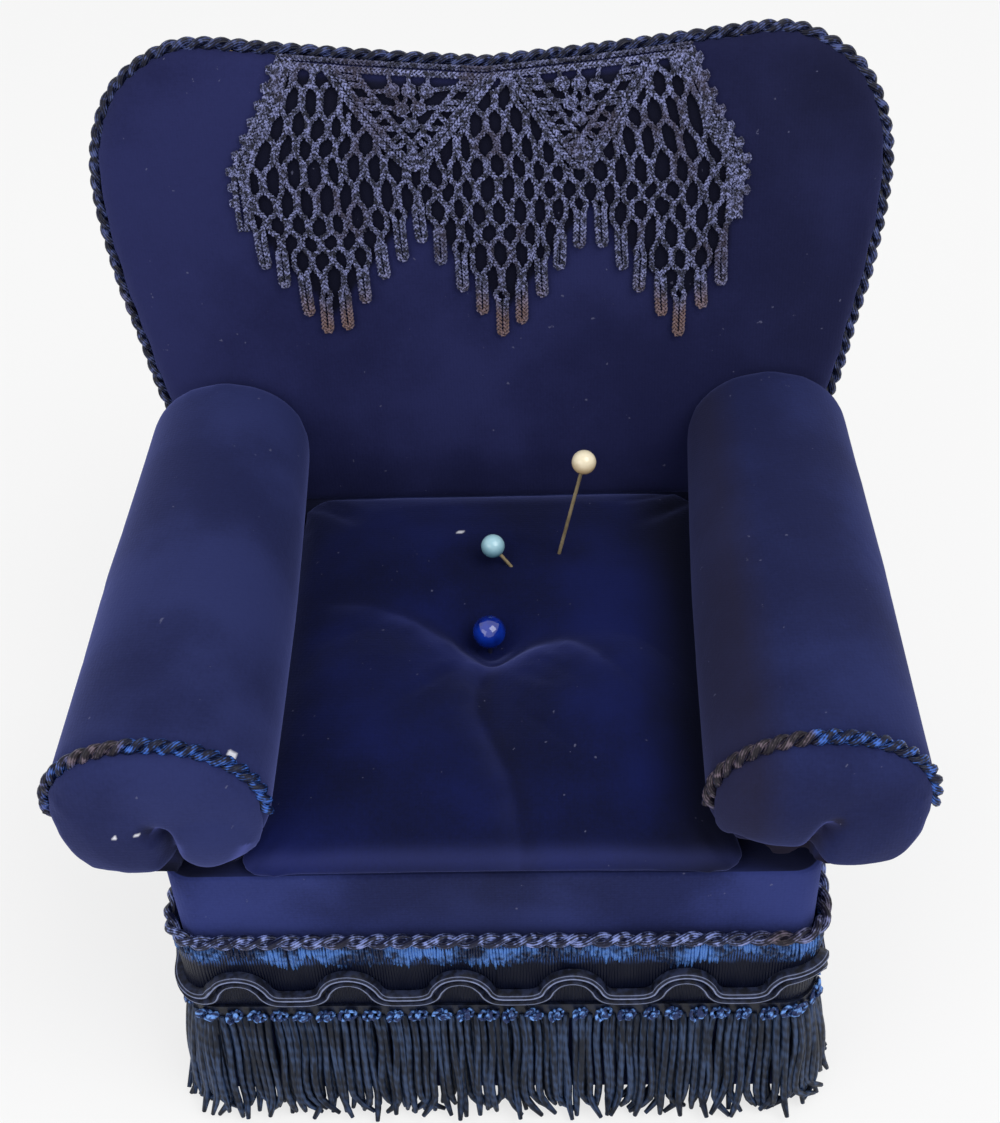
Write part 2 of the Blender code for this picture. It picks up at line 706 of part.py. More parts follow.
# Arms


def arm_section(angle, drop=0.0, narrow=0.0):
    """Point of the arm's section in its own x and z, drawn in by drop."""
    half = ARM_WIDTH / 2 - narrow
    top = ARM_HEIGHT - ARM_BELLY_HEIGHT
    c = math.cos(angle)
    s = math.sin(angle)
    if s >= 0:
        power = 2.0
        high = top
    else:
        power = 2.5
        high = ARM_BELLY_HEIGHT
    reach = (abs(c / half) ** power + abs(s / high) ** power) ** (-1 / power)
    reach -= drop
    return reach * c, reach * s


def face_y(z):
    """Y of the back's face at that height."""
    return FACE_Y + (z - BASE_HEIGHT) * math.tan(BACK_LEAN)


def arm_angles(dips):
    """Directions round an arm: evenly spaced from the first tuck, with two more close beside it."""
    start, _, width = dips[0]
    even = [start + 2 * math.pi * i / ARM_SIDES for i in range(ARM_SIDES)]
    return [even[0], start + width, *even[1:], start + 2 * math.pi - width]


def make_arm(name, side, dips):
    """One arm: the roll, the front panel tucked in at the bottom, and the cord over their seam."""
    angles = arm_angles(dips)
    rows = [
        (0.0, ARM_SEAM_INSET),
        (ARM_SEAM_INSET * 1.3, 0.0),
        (0.5, 0.0),
        (1.0, 0.3),
        (1.0, 1.0),
    ]
    rings = []
    length = FACE_Y - ARM_FRONT_Y
    for index, (place, inset) in enumerate(rows):
        share = place / length if index == 1 else place
        drop = inset if index < 2 else inset * ARM_REAR_ROUNDING * 0.75
        back_off = 0.0 if index < 3 else (1 - inset) * ARM_REAR_ROUNDING * 0.8
        ring = []
        for angle in angles:
            x, z = arm_section(angle, drop, ARM_REAR_NARROWING / 2 * share)
            z += ARM_MIDDLE_Z
            rear = face_y(z) - CLEARANCE - back_off
            center = side * (ARM_X - ARM_REAR_SPLAY * (0.5 - share))
            ring.append((center + x, ARM_FRONT_Y + (rear - ARM_FRONT_Y) * share, z))
        rings.append(ring)
    add_object(name + "_roll", loft(rings), VELVET_FINISH)

    front_x = side * (ARM_X - ARM_REAR_SPLAY / 2)

    def panel_ring(share, y):
        ring = []
        for angle in angles:
            x, z = arm_section(angle, ARM_SEAM_INSET)
            tuck = 1.0
            for middle, depth, width in dips:
                away = (angle - middle + math.pi) % (2 * math.pi) - math.pi
                tuck -= depth * bump(away, width)
            ring.append((front_x + x * share * tuck, y, ARM_MIDDLE_Z + z * share * tuck))
        return ring

    back_y = ARM_FRONT_Y - CLEARANCE
    rings = [panel_ring(1.0, back_y), panel_ring(1.0, back_y - ARM_PANEL_EDGE)]
    for share in (0.9, 0.62, 0.2):
        bulge = ARM_PANEL_EDGE + (ARM_PANEL_BULGE - ARM_PANEL_EDGE) * math.sqrt(1 - share**3)
        rings.append(panel_ring(share, back_y - bulge))
    add_object(name + "_front_panel", loft(rings), VELVET_FINISH)

    lift = ARM_CORD_DIAMETER / 2 + CLEARANCE - 0.75 * ARM_SEAM_INSET
    points = []
    steps = 10
    for step in range(steps + 1):
        angle = math.radians(-8 + 196 * step / steps)
        x, z = arm_section(angle, -lift)
        points.append((front_x + x, ARM_FRONT_Y - CLEARANCE / 2, ARM_MIDDLE_Z + z))
    tube(name + "_cord", points, ARM_CORD_DIAMETER / 2, CORD_FINISH)


def make_arms():
    """Both arms. Each dip is where the front panel tucks in: direction, depth as a share, and width."""
    left = [(math.radians(-72), 0.6, math.radians(6))]
    right = [(math.radians(-98), 0.34, math.radians(7)), (math.radians(-128), 0.24, math.radians(18))]
    make_arm("left_arm", -1, left)
    make_arm("right_arm", 1, right)


# Back


def cut_foot(bm):
    """Trims a piece of the back level just over the deck, and closes the cut."""
    everything = bm.verts[:] + bm.edges[:] + bm.faces[:]
    level = (0, 0, SEAT_FLOOR)
    bmesh.ops.bisect_plane(bm, geom=everything, plane_co=level, plane_no=(0, 0, -1), clear_outer=True)
    bmesh.ops.holes_fill(bm, edges=bm.edges)
    bmesh.ops.triangulate(bm, faces=[face for face in bm.faces if len(face.verts) > 4])


def make_pad(name, front, thickness, facing, levels):
    """A padded side of the back: a flat base on the board, a thin edge and a crown that is flat inside."""
    outline = back_outline()

    def ring(share, out):
        flat = [BACK_MIDDLE + (point - BACK_MIDDLE) * share for point in outline]
        return [back_point(point.x, point.y, front + facing * out) for point in flat]

    rings = [ring(1.0, 0.0), ring(1.0, thickness * pad_rise(1.0))]
    for level in levels:
        rings.append(ring(level, thickness * pad_rise(level)))
    bm = loft(rings)
    cut_foot(bm)
    add_object(name, bm, BACK_VELVET_FINISH)


def make_back():
    """The card board with its tab, a pad on each side of it, and the cord round the edge."""
    board_front = -FRONT_PAD_THICKNESS - CLEARANCE
    board_rear = board_front - BOARD_THICKNESS
    make_pad("back_front_pad", -FRONT_PAD_THICKNESS, FRONT_PAD_THICKNESS, 1, FRONT_PAD_LEVELS)
    make_pad("back_rear_pad", board_rear - CLEARANCE, REAR_PAD_THICKNESS, -1, REAR_PAD_LEVELS)

    outline = back_outline()
    faces = [[back_point(p.x, p.y, out) for p in outline] for out in (board_rear, board_front)]
    bm = loft(faces)
    cut_foot(bm)
    board = add_object("back_board", bm, CARD_FINISH, smooth=False)
    tab = tab_block(0.0, SEAT_FLOOR + BOARD_THICKNESS / 3)
    join(board, add_cutter("board_tab", tab))

    seat_out = BACK_CORD_DIAMETER / 2 + CLEARANCE
    cord = []
    for i, point in enumerate(outline):
        before = outline[max(i - 1, 0)]
        after = outline[min(i + 1, len(outline) - 1)]
        along = (after - before).normalized()
        away = point + Vector((along.y, -along.x)) * seat_out
        if i == 0:
            away += along * seat_out * 1.5
        if i == len(outline) - 1:
            away -= along * seat_out * 1.5
        cord.append(back_point(away.x, away.y, board_front + seat_out))
    tube("back_edge_cord", cord, BACK_CORD_DIAMETER / 2, CORD_FINISH)


# Lace


def lace_side(height):
    """Half width of the lace at that height: it widens from its top edge to its shoulders."""
    drop = lace_top(LACE_TOP_WIDTH / 2) - height
    share = min(max(drop / LACE_SHOULDER_DROP, 0.0), 1.0)
    return LACE_TOP_WIDTH / 2 + (LACE_WIDTH - LACE_TOP_WIDTH) / 2 * share**1.3


def lace_top(x):
    """Height of the lace's top edge, just inside the cord."""
    return top_of_back(x) - LACE_TOP_INSET


def lace_bottom(x):
    """Height of the lower edge, which falls to three points."""
    place = (x - LACE_POINT_SHIFT) / LACE_POINT_PITCH
    away = abs(place - round(place)) * 2
    if abs(round(place)) > 1:
        away = 1.0
    return LACE_TIP_HEIGHT + (LACE_VALLEY_HEIGHT - LACE_TIP_HEIGHT) * away


def lace_outline():
    """Outer edge of the lace, with a row of hanging tails below."""
    points = []
    steps = 8
    for i in range(steps + 1):
        x = -LACE_TOP_WIDTH / 2 + LACE_TOP_WIDTH * i / steps
        points.append((x, lace_top(x)))
    shoulder = points[-1][1] - LACE_SHOULDER_DROP
    sides = [shoulder + LACE_SHOULDER_DROP * 0.6, shoulder + LACE_SHOULDER_DROP * 0.3, shoulder]
    points += [(lace_side(h), h) for h in sides]
    pitch = LACE_WIDTH / LACE_TAIL_COUNT
    half = (pitch - LACE_STRAND) / 2
    for i in range(LACE_TAIL_COUNT):
        x = LACE_WIDTH / 2 - pitch * (i + 0.5)
        low = lace_bottom(x)
        left_notch = lace_bottom(x - pitch / 2) + LACE_TAIL_LENGTH
        right_notch = lace_bottom(x + pitch / 2) + LACE_TAIL_LENGTH
        points.append((x + half, right_notch))
        points += [(x + half * 0.6, low), (x - half * 0.6, low)]
        points.append((x - half, left_notch))
    points += [(-lace_side(h), h) for h in reversed(sides)]
    return points


def fan_center(index):
    """Middle of one of the two closed fans, between the lace's points."""
    return LACE_POINT_SHIFT - LACE_POINT_PITCH / 2 + index * LACE_POINT_PITCH


def in_fan(x, height, grow):
    """Whether a place lies in a fan, grown by that much."""
    tip = lace_top(0.0) - LACE_FAN_HEIGHT
    for index in range(2):
        reach = LACE_FAN_HALF_WIDTH * (height - tip) / LACE_FAN_HEIGHT + grow
        if abs(x - fan_center(index)) < reach:
            return True
    return False


def lozenge(x, height, half_width, half_height):
    """Corners of one opening."""
    return [
        (x + half_width, height),
        (x, height + half_height),
        (x - half_width, height),
        (x, height - half_height),
    ]


def lace_holes():
    """Lozenge openings: a row under the top edge, the mesh, and three rows of small ones in each fan."""
    holes = []
    heading = LACE_HEADING_HOLE / 2
    count = int(LACE_TOP_WIDTH / LACE_MESH_WIDTH)
    for i in range(count):
        x = (i - (count - 1) / 2) * LACE_MESH_WIDTH
        height = lace_top(x) - LACE_STRAND - heading
        if not in_fan(x, height, 0.0):
            holes.append(lozenge(x, height, heading, heading))
    half_w = (LACE_MESH_WIDTH - LACE_STRAND) / 2
    half_h = (LACE_MESH_HEIGHT - LACE_STRAND * 2) / 2
    rows = int(BACK_HEIGHT / (LACE_MESH_HEIGHT / 2))
    columns = int(LACE_WIDTH / LACE_MESH_WIDTH)
    for row in range(rows):
        height = row * LACE_MESH_HEIGHT / 2
        for column in range(-columns, columns + 1):
            x = (column + 0.5 * (row % 2)) * LACE_MESH_WIDTH
            top = lace_top(x) - 2 * LACE_STRAND - LACE_HEADING_HOLE - half_h
            bottom = lace_bottom(x) + LACE_TAIL_LENGTH + LACE_STRAND * 0.8 + half_h
            side = lace_side(height + half_h) - LACE_STRAND - half_w
            if not bottom < height < top or abs(x) > side:
                continue
            if in_fan(x, height, LACE_STRAND + half_w) or in_fan(x, height + half_h, LACE_STRAND):
                continue
            holes.append(lozenge(x, height, half_w, half_h))
    for index in range(2):
        for row, count in enumerate((3, 2, 1)):
            height = lace_top(0.0) - LACE_STRAND * 1.6 - LACE_FAN_HOLE * (0.7 + 1.55 * row)
            for i in range(count):
                x = fan_center(index) + (i - (count - 1) / 2) * LACE_FAN_HOLE * 1.9
                holes.append(lozenge(x, height, LACE_FAN_HOLE / 2, LACE_FAN_HOLE / 2))
    return holes


def make_lace():
    """The flat lace as an outline with holes, then bent over the back's padded face."""
    data = bpy.data.curves.new("lace_flat", "CURVE")
    data.dimensions = "2D"
    data.fill_mode = "BOTH"
    data.extrude = LACE_THICKNESS / 2
    for points in [lace_outline(), *lace_holes()]:
        spline = data.splines.new("POLY")
        spline.points.add(len(points) - 1)
        spline.use_cyclic_u = True
        for target, (x, y) in zip(spline.points, points):
            target.co = (x, y, 0, 1)
    flat = bpy.data.objects.new("lace_flat", data)
    bpy.context.scene.collection.objects.link(flat)
    bpy.context.view_layer.update()
    mesh = bpy.data.meshes.new_from_object(flat.evaluated_get(bpy.context.evaluated_depsgraph_get()))
    bpy.data.objects.remove(flat, do_unlink=True)
    bm = bmesh.new()
    bm.from_mesh(mesh)
    bmesh.ops.remove_doubles(bm, verts=bm.verts, dist=0.005 * MM)
    for vert in bm.verts:
        x, height, through = vert.co
        rise = FRONT_PAD_THICKNESS * (pad_rise(outline_share(x, height)) - 1)
        vert.co = back_point(x, height, rise + CLEARANCE * 1.5 + LACE_THICKNESS / 2 + through)
    add_object("lace_antimacassar", bm, LACE_FINISH, smooth=False)


# Trims


def make_trims():
    """Cord, satin band, gimp and fringe round the base."""
    cord_out = CLEARANCE + BASE_CORD_DIAMETER / 2
    shares = path_shares()
    points = []
    for share in shares:
        point, _ = base_path(share, cord_out)
        points.append((point.x, point.y, BASE_CORD_HEIGHT))
    tube("base_edge_cord", points, BASE_CORD_DIAMETER / 2, CORD_FINISH, closed=True)

    inner = 2 * CLEARANCE
    outer = inner + 2 * BAND_THICKNESS
    outer_radius = BASE_CORNER_RADIUS + outer / 2
    ring = block(BASE_WIDTH + outer, BASE_DEPTH + outer, BAND_BOTTOM, BAND_TOP, outer_radius)
    band = add_object("fringe_header_band", ring, BAND_FINISH)
    hollow = block(
        BASE_WIDTH + inner,
        BASE_DEPTH + inner,
        BAND_BOTTOM - CLEARANCE,
        BAND_TOP + CLEARANCE,
        BASE_CORNER_RADIUS + inner / 2,
    )
    cut(band, add_cutter("band_hollow", hollow))
    make_gimp()
    make_skirt()


def make_gimp():
    """The serpentine braid: a flat ribbon that waves up and down as it goes round the base."""
    steps = 5
    count = GIMP_WAVES * steps
    inner = 4 * CLEARANCE + BAND_THICKNESS
    length = 2 * (BASE_WIDTH + BASE_DEPTH)

    def height(step):
        wave = math.sin(2 * math.pi * step / steps)
        return GIMP_MIDDLE_HEIGHT + GIMP_WAVE * math.copysign(abs(wave) ** 0.6, wave)

    rings = []
    for step in range(count):
        share = (step + 0.5) / count
        here = step + 0.5
        slope = (height(here + 0.5) - height(here - 0.5)) / (length / count)
        across = Vector((-slope, 1)).normalized() * GIMP_WIDTH / 2
        ring = []
        for sign, out in ((1, 0), (1, GIMP_THICKNESS), (-1, GIMP_THICKNESS), (-1, 0)):
            moved = share + sign * across.x / length
            point, _ = base_path(moved, inner + out)
            ring.append((point.x, point.y, height(here) + sign * across.y))
        rings.append(ring)
    add_object("gimp_braid", loft(rings, closed=True), GIMP_FINISH, smooth=False)


def make_skirt():
    """The fringe: a tape with a row of knots, and a strand that hangs from each."""
    bm = bmesh.new()
    length = 2 * (BASE_WIDTH + BASE_DEPTH)
    half_knot = KNOT_WIDTH / 2 / length
    columns = []
    for index in range(KNOT_COUNT):
        middle = (index + 0.5) / KNOT_COUNT
        for share in (middle - half_knot, middle + half_knot):
            near, _ = base_path(share, CLEARANCE)
            far, _ = base_path(share, CLEARANCE + TAPE_THICKNESS)
            column = []
            for point, z in ((near, TAPE_TOP), (far, TAPE_TOP), (far, TAPE_BOTTOM), (near, TAPE_BOTTOM)):
                column.append(bm.verts.new((point.x, point.y, z)))
            columns.append(column)
    knots = []
    for index, column in enumerate(columns):
        after = columns[(index + 1) % len(columns)]
        faces = []
        for corner in range(4):
            right = (corner + 1) % 4
            faces.append(bm.faces.new((column[corner], column[right], after[right], after[corner])))
        if index % 2 == 0:
            knots.append((index // 2, faces[1], faces[2]))
    bmesh.ops.recalc_face_normals(bm, faces=bm.faces)
    for index, front, foot in knots:
        _, normal = base_path((index + 0.5) / KNOT_COUNT)
        make_knot(bm, front, normal)
        make_strand(bm, foot, normal, index)
    add_object("fringe_skirt", bm, FRINGE_FINISH, smooth=False)


def make_knot(bm, face, normal):
    """One knot: the tape's face, pushed out and drawn together."""
    made = bmesh.ops.extrude_discrete_faces(bm, faces=[face])["faces"][0]
    center = made.calc_center_median()
    for vert in made.verts:
        vert.co = center + (vert.co - center) * 0.55 + normal * KNOT_BULGE


def make_strand(bm, face, normal, index):
    """One strand: the tape's lower face, drawn down to the floor in a shallow bow."""
    along = Vector((-normal.y, normal.x, 0))
    tip_z = STRAND_TIP_HEIGHT + STRAND_LENGTH_SPREAD * (0.5 + 0.5 * wobble(index, 1))
    sway = 0.45 * MM * wobble(index, 2)
    start = face.calc_center_median()
    for share, out, size in ((0.55, 1.0, 0.95), (1.0, 0.75 + 0.35 * wobble(index, 3), 0.8)):
        face = bmesh.ops.extrude_discrete_faces(bm, faces=[face])["faces"][0]
        center = face.calc_center_median()
        place = start + normal * STRAND_BOW * out + along * sway * share
        place.z = TAPE_BOTTOM + (tip_z - TAPE_BOTTOM) * share
        for vert in face.verts:
            offset = vert.co - center
            vert.co = place + offset * size


clear_scene()
PARTS = new_collection("chair_pincushion")
CUTTERS = new_collection("cutters")
make_base()
make_seat()
make_pins()
make_arms()
make_back()
make_lace()
make_trims()
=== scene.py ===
# Chair pincushion: the looks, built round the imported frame. Metres, +Z up, the chair faces -Y.
import math
import random

import bpy
from mathutils import Matrix, Vector, noise


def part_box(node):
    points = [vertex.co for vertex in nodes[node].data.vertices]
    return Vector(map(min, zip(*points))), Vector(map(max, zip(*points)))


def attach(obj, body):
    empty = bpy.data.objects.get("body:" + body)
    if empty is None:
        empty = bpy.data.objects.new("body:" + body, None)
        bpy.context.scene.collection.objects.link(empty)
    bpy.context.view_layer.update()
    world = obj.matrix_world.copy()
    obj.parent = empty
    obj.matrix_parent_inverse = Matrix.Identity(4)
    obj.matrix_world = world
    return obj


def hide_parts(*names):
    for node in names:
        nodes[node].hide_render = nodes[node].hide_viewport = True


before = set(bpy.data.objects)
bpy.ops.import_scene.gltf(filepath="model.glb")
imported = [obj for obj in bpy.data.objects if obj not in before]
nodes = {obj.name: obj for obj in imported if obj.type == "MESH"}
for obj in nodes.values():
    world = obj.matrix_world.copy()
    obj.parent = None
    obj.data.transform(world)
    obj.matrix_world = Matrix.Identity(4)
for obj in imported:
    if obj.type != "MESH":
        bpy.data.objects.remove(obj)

scene = bpy.context.scene
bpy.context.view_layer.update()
mm = 0.001


def clamp(value, high=1.0):
    return min(max(value, 0.0), high)


def bell(distance, width):
    return math.exp(-((distance / width) ** 2))


# Tools for objects


def clearSelection():
    if bpy.context.object and bpy.context.object.mode != "OBJECT":
        setMode("OBJECT")
    bpy.ops.object.select_all(action="DESELECT")


def setMode(mode):
    bpy.ops.object.mode_set(mode=mode)


def startEdit(action="SELECT"):
    setMode("EDIT")
    bpy.ops.mesh.select_all(action=action)


def pick(*objects):
    clearSelection()
    for obj in objects:
        obj.select_set(True)
    bpy.context.view_layer.objects.active = objects[0]


def keepAs(name):
    # what an operator has just added, with its place moved into its mesh
    obj = bpy.context.object
    obj.name = obj.data.name = name
    pick(obj)
    bpy.ops.object.transform_apply(location=True, rotation=True, scale=True)
    return obj


def addModifier(obj, kind, **settings):
    modifier = obj.modifiers.new(kind.lower(), kind)
    for key, value in settings.items():
        setattr(modifier, key, value)
    return modifier


def applyModifiers(obj):
    pick(obj)
    for modifier in list(obj.modifiers):
        bpy.ops.object.modifier_apply(modifier=modifier.name)


def cleanMesh(obj, gap):
    # merges points nearer than the gap and turns all faces outwards
    pick(obj)
    startEdit()
    bpy.ops.mesh.remove_doubles(threshold=gap)
    bpy.ops.mesh.normals_make_consistent(inside=False)
    setMode("OBJECT")
    return obj


def copyNode(node, name):
    # a closed copy of a CAD node, its loose triangles merged
    obj = bpy.data.objects.new(name, nodes[node].data.copy())
    scene.collection.objects.link(obj)
    obj.data.materials.clear()
    return cleanMesh(obj, 0.002 * mm)


def joinAll(objects, name):
    pick(*objects)
    if len(objects) > 1:
        bpy.ops.object.join()
    obj = bpy.context.object
    obj.name = obj.data.name = name
    return obj


def smoothShade(obj, angle=None):
    pick(obj)
    if angle is None:
        bpy.ops.object.shade_smooth()
    else:
        bpy.ops.object.shade_smooth_by_angle(angle=math.radians(angle))


def dress(obj, material, slot, *replaced):
    # material, body, the slot, which is not used, and the CAD nodes that the piece stands for
    obj.data.materials.clear()
    obj.data.materials.append(material)
    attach(obj, "root")
    if replaced:
        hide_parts(*replaced)
    return obj


# Tools for materials


def color(red, green, blue):
    # 0-255 values, made linear
    shares = (red / 255, green / 255, blue / 255)
    linear = [c / 12.92 if c <= 10 / 255 else ((c + 0.055) / 1.055) ** 2.4 for c in shares]
    return (*linear, 1.0)


class Wire:
    # one socket of a material: arithmetic on it adds Math nodes
    def __init__(self, tree, socket=None):
        self.tree = tree
        self.socket = socket

    def add(self, kind, settings=None, values=None, output=0):
        node = self.tree.nodes.new("ShaderNode" + kind)
        for key, value in (settings or {}).items():
            if key == "stops":
                while len(node.color_ramp.elements) < len(value):
                    node.color_ramp.elements.new(0.5)
                for element, (place, tone) in zip(node.color_ramp.elements, value):
                    element.position = place
                    element.color = tone
            else:
                setattr(node, key, value)
        for key, value in (values or {}).items():
            if isinstance(value, Wire):
                self.tree.links.new(value.socket, node.inputs[key])
            else:
                node.inputs[key].default_value = value
        return Wire(self.tree, node.outputs[output])

    def coords(self, kind="Object"):
        return self.add("TexCoord", output=kind)

    def attribute(self, name):
        return self.add("Attribute", {"attribute_name": name}, output="Fac")

    def axis(self, index):
        return self.add("SeparateXYZ", None, {"Vector": self}, index)

    def calc(self, operation, *numbers):
        return self.add("Math", {"operation": operation}, dict(enumerate(numbers)))

    def __add__(self, other):
        return self.calc("ADD", self, other)

    def __sub__(self, other):
        return self.calc("SUBTRACT", self, other)

    def __mul__(self, other):
        return self.calc("MULTIPLY", self, other)

    def __truediv__(self, other):
        return self.calc("DIVIDE", self, other)

    def __pow__(self, other):
        return self.calc("POWER", self, other)

    def __rsub__(self, other):
        return self.calc("SUBTRACT", other, self)

    __radd__ = __add__
    __rmul__ = __mul__

    def mix(self, first, second):
        # this socket as the factor between two colours
        return self.add("Mix", {"data_type": "RGBA"}, {0: self, 6: first, 7: second}, 2)


def newMaterial(name, **finish):
    # a Principled material with its steady values set, and a Wire to build the rest with
    material = bpy.data.materials.new(name)
    material.use_nodes = True
    shader = material.node_tree.nodes["Principled BSDF"]
    for key, value in finish.items():
        shader.inputs[key.replace("_", " ")].default_value = value
    return material, shader, Wire(material.node_tree)


def feed(shader, **sockets):
    for key, wire in sockets.items():
        wire.tree.links.new(wire.socket, shader.inputs[key.replace("_", " ")])


def grain(place, scale, detail=2.0, rough=0.5):
    values = {"Vector": place, "Scale": scale, "Detail": detail, "Roughness": rough}
    return place.add("TexNoise", None, values)


def bump(height, strength, distance):
    return height.add("Bump", None, {"Height": height, "Strength": strength, "Distance": distance})


def between(value, low, high):
    # 0 below low, 1 above high, smooth between
    smooth = {"interpolation_type": "SMOOTHSTEP"}
    return value.add("MapRange", smooth, {"Value": value, "From Min": low, "From Max": high})


silkFinish = {"Sheen_Weight": 0.1, "Specular_IOR_Level": 0.22}


# Materials

velvetTones = {
    "back": (color(24, 27, 66), color(38, 42, 88)),
    "seat": (color(4, 9, 42), color(13, 22, 76)),
    "leftArm": (color(24, 29, 68), color(41, 48, 96)),
    # the right arm's copy: a brownish colour for its painted shade, and less sheen, which keeps its outer
    # side dark
    "rightArm": (color(22, 28, 68), color(38, 47, 98), color(32, 27, 36), 0.3),
    "base": (color(20, 27, 70), color(46, 56, 116)),
    "rear": (color(24, 27, 66), color(36, 40, 84)),
}


# how the nap's colour differs at each point: painted shade, painted highlight, or lint
toneLayers = ("shade", "rub", "lint")


def makeVelvet(name, dark, light, shaded=color(7, 8, 20), sheen=0.55):
    material, shader, start = newMaterial(
        name,
        Roughness=0.9,
        Sheen_Weight=sheen,
        Sheen_Roughness=0.4,
        Sheen_Tint=color(120, 130, 205),
        Specular_IOR_Level=0.15,
    )
    place = start.coords()
    patches = grain(place, 38.0, 3.0)
    brushed = between(patches, 0.35, 0.68)
    pile = grain(place, 1500.0, 3.0, 0.7)
    across, deep, down = (place.axis(index) for index in range(3))
    threads = 2 * math.pi / (0.55 * mm)
    weave = start.calc("SINE", across * threads) + start.calc("SINE", (deep + down) * threads)
    tone = between(brushed * 0.6 + pile * 0.5 + weave * 0.015, 0.05, 1.0).mix(dark, light)
    # painted shade darkens the nap towards the shaded colour; painted highlight on crests and rims lightens
    # it towards pale blue
    shade, rub, lint = (start.attribute(key) for key in toneLayers)
    tone = rub.mix(shade.mix(tone, shaded), color(74, 82, 150))
    specks = between(grain(place, 800.0, 2.0), 0.745, 0.775)
    feed(
        shader,
        Base_Color=lint.mix((specks * 0.45).mix(tone, color(110, 112, 140)), color(225, 225, 235)),
        Normal=bump(pile + weave * 0.05 + patches * 4.0, 0.5, 0.12 * mm),
    )
    return material


def markPoints(obj, keys, tell):
    # one attribute for each key, from what tell gives for a point
    layers = [obj.data.attributes.new(key, "FLOAT", "POINT") for key in keys]
    for index, vert in enumerate(obj.data.vertices):
        for layer, value in zip(layers, tell(vert.co)):
            layer.data[index].value = value


def markTone(obj, tell):
    markPoints(obj, toneLayers, lambda point: [clamp(share) for share in tell(point)])


def makeCordSilk(name, dark, light, worn, wornShare, fibres=9, turns=60, weight=0.08):
    # twisted silky yarn: dark, with light threads that are partly their own blue and partly painted glints,
    # faded in places
    material, shader, start = newMaterial(name, Roughness=0.36, Sheen_Tint=light, **silkFinish)
    place = start.coords()
    uv = start.coords("UV")
    along = uv.axis(0)
    around = uv.axis(1)
    fibre = start.calc("SINE", (around * fibres + along * turns) * (2 * math.pi))
    speckle = grain(place, 900.0, 2.0)
    glint = between(speckle + fibre * weight, 0.46, 0.74)
    patches = grain(place, 55.0, 2.0)
    faded = start.attribute("worn")
    age = between(patches + faded, 0.62 - wornShare, 0.78 - wornShare)
    tone = age.mix(glint.mix(dark, light), glint.mix(worn[0], worn[1]))
    feed(shader, Base_Color=tone, Normal=bump(fibre * 0.5 + speckle, 0.7, 0.08 * mm))
    return material


def makeSatin():
    material, shader, start = newMaterial("satinBand", Roughness=0.4, Specular_IOR_Level=0.15)
    place = start.coords()
    along = start.attribute("along")
    down = place.axis(2)
    thread = start.calc("SINE", along * (2 * math.pi / (0.42 * mm)))
    speckle = grain(place, 700.0, 2.0)
    upper = between(down + speckle * 0.0012, 38.2 * mm, 39.6 * mm)
    tone = (upper * between(speckle + thread * 0.2, 0.3, 0.75)).mix(color(7, 12, 32), color(52, 84, 146))
    feed(shader, Base_Color=tone, Normal=bump(thread, 0.8, 0.1 * mm))
    return material


def makeThreadSilk(name, dark, light, patchy=0.5, low=0.42, high=0.8):
    material, shader, start = newMaterial(name, Roughness=0.38, Sheen_Tint=light, **silkFinish)
    place = start.coords()
    speckle = grain(place, 1100.0, 2.0)
    patches = grain(place, 140.0, 2.0)
    tone = between(speckle * 0.7 + patches * patchy, low, high).mix(dark, light)
    feed(shader, Base_Color=tone, Normal=bump(speckle, 0.7, 0.08 * mm))
    return material


def makeStrandSilk():
    # dull slate with long glints down each strand
    material, shader, start = newMaterial("fringeSilk", Roughness=0.45, Specular_IOR_Level=0.22)
    place = start.coords()
    uv = start.coords("UV")
    along, around = (uv.axis(axis) for axis in (0, 1))
    x, y = (place.axis(axis) for axis in (0, 1))
    apart = (x + y) * 330
    streak = grain(start.add("CombineXYZ", None, {0: along * 3, 1: around * 5, 2: apart}), 1.0, 3.0, 0.6)
    twist = start.calc("SINE", (around + along * 11) * (2 * math.pi))
    glint = between(streak + twist * 0.05, 0.4, 0.68)
    warm = between(grain(place, 120.0, 2.0), 0.5, 0.7)
    tone = (glint * (1 - warm * 0.45)).mix(color(13, 20, 35), color(52, 71, 106))
    feed(shader, Base_Color=tone, Normal=bump(streak + twist * 0.4, 0.7, 0.1 * mm))
    return material


def makeYarn():
    sheen = {"Sheen_Weight": 0.3, "Sheen_Tint": color(150, 155, 195)}
    material, shader, start = newMaterial("laceYarn", Roughness=0.8, **sheen)
    place = start.coords()
    fade, raised = (start.attribute(key) for key in ("fade", "raised"))
    speckle = grain(place, 1500.0, 3.0, 0.7)
    patches = grain(place, 110.0, 2.0)
    # raised sets painted shade: yarn that lies low on the velvet darkens, the blue and the brown alike
    light = between(speckle, 0.42, 0.62) * (raised * 0.85 + 0.15)
    blue = light.mix(color(13, 15, 32), color(148, 154, 206))
    plum = (between(patches, 0.52, 0.7) * 0.5).mix(blue, color(62, 52, 70))
    brownish = (raised * 0.7 + 0.3).mix(color(40, 30, 32), color(128, 100, 92))
    tone = (between(fade + speckle * 0.6, 0.6, 1.15) * 0.85).mix(plum, brownish)
    feed(shader, Base_Color=tone, Normal=bump(speckle, 1.0, 0.16 * mm))
    return material


def makePearl(name, body, warm):
    material, shader, start = newMaterial(name, Roughness=0.22, Coat_Weight=0.6, Coat_Roughness=0.08)
    place = start.coords()
    # painted shade: the head turns to the warm tone where it faces down
    height = start.coords("Normal").axis(2)
    cloud = grain(place, 500.0, 2.0)
    tone = between(height + cloud * 0.6, -0.6, 1.2).mix(warm, body)
    feed(shader, Base_Color=tone, Roughness=cloud * 0.12 + 0.16)
    return material


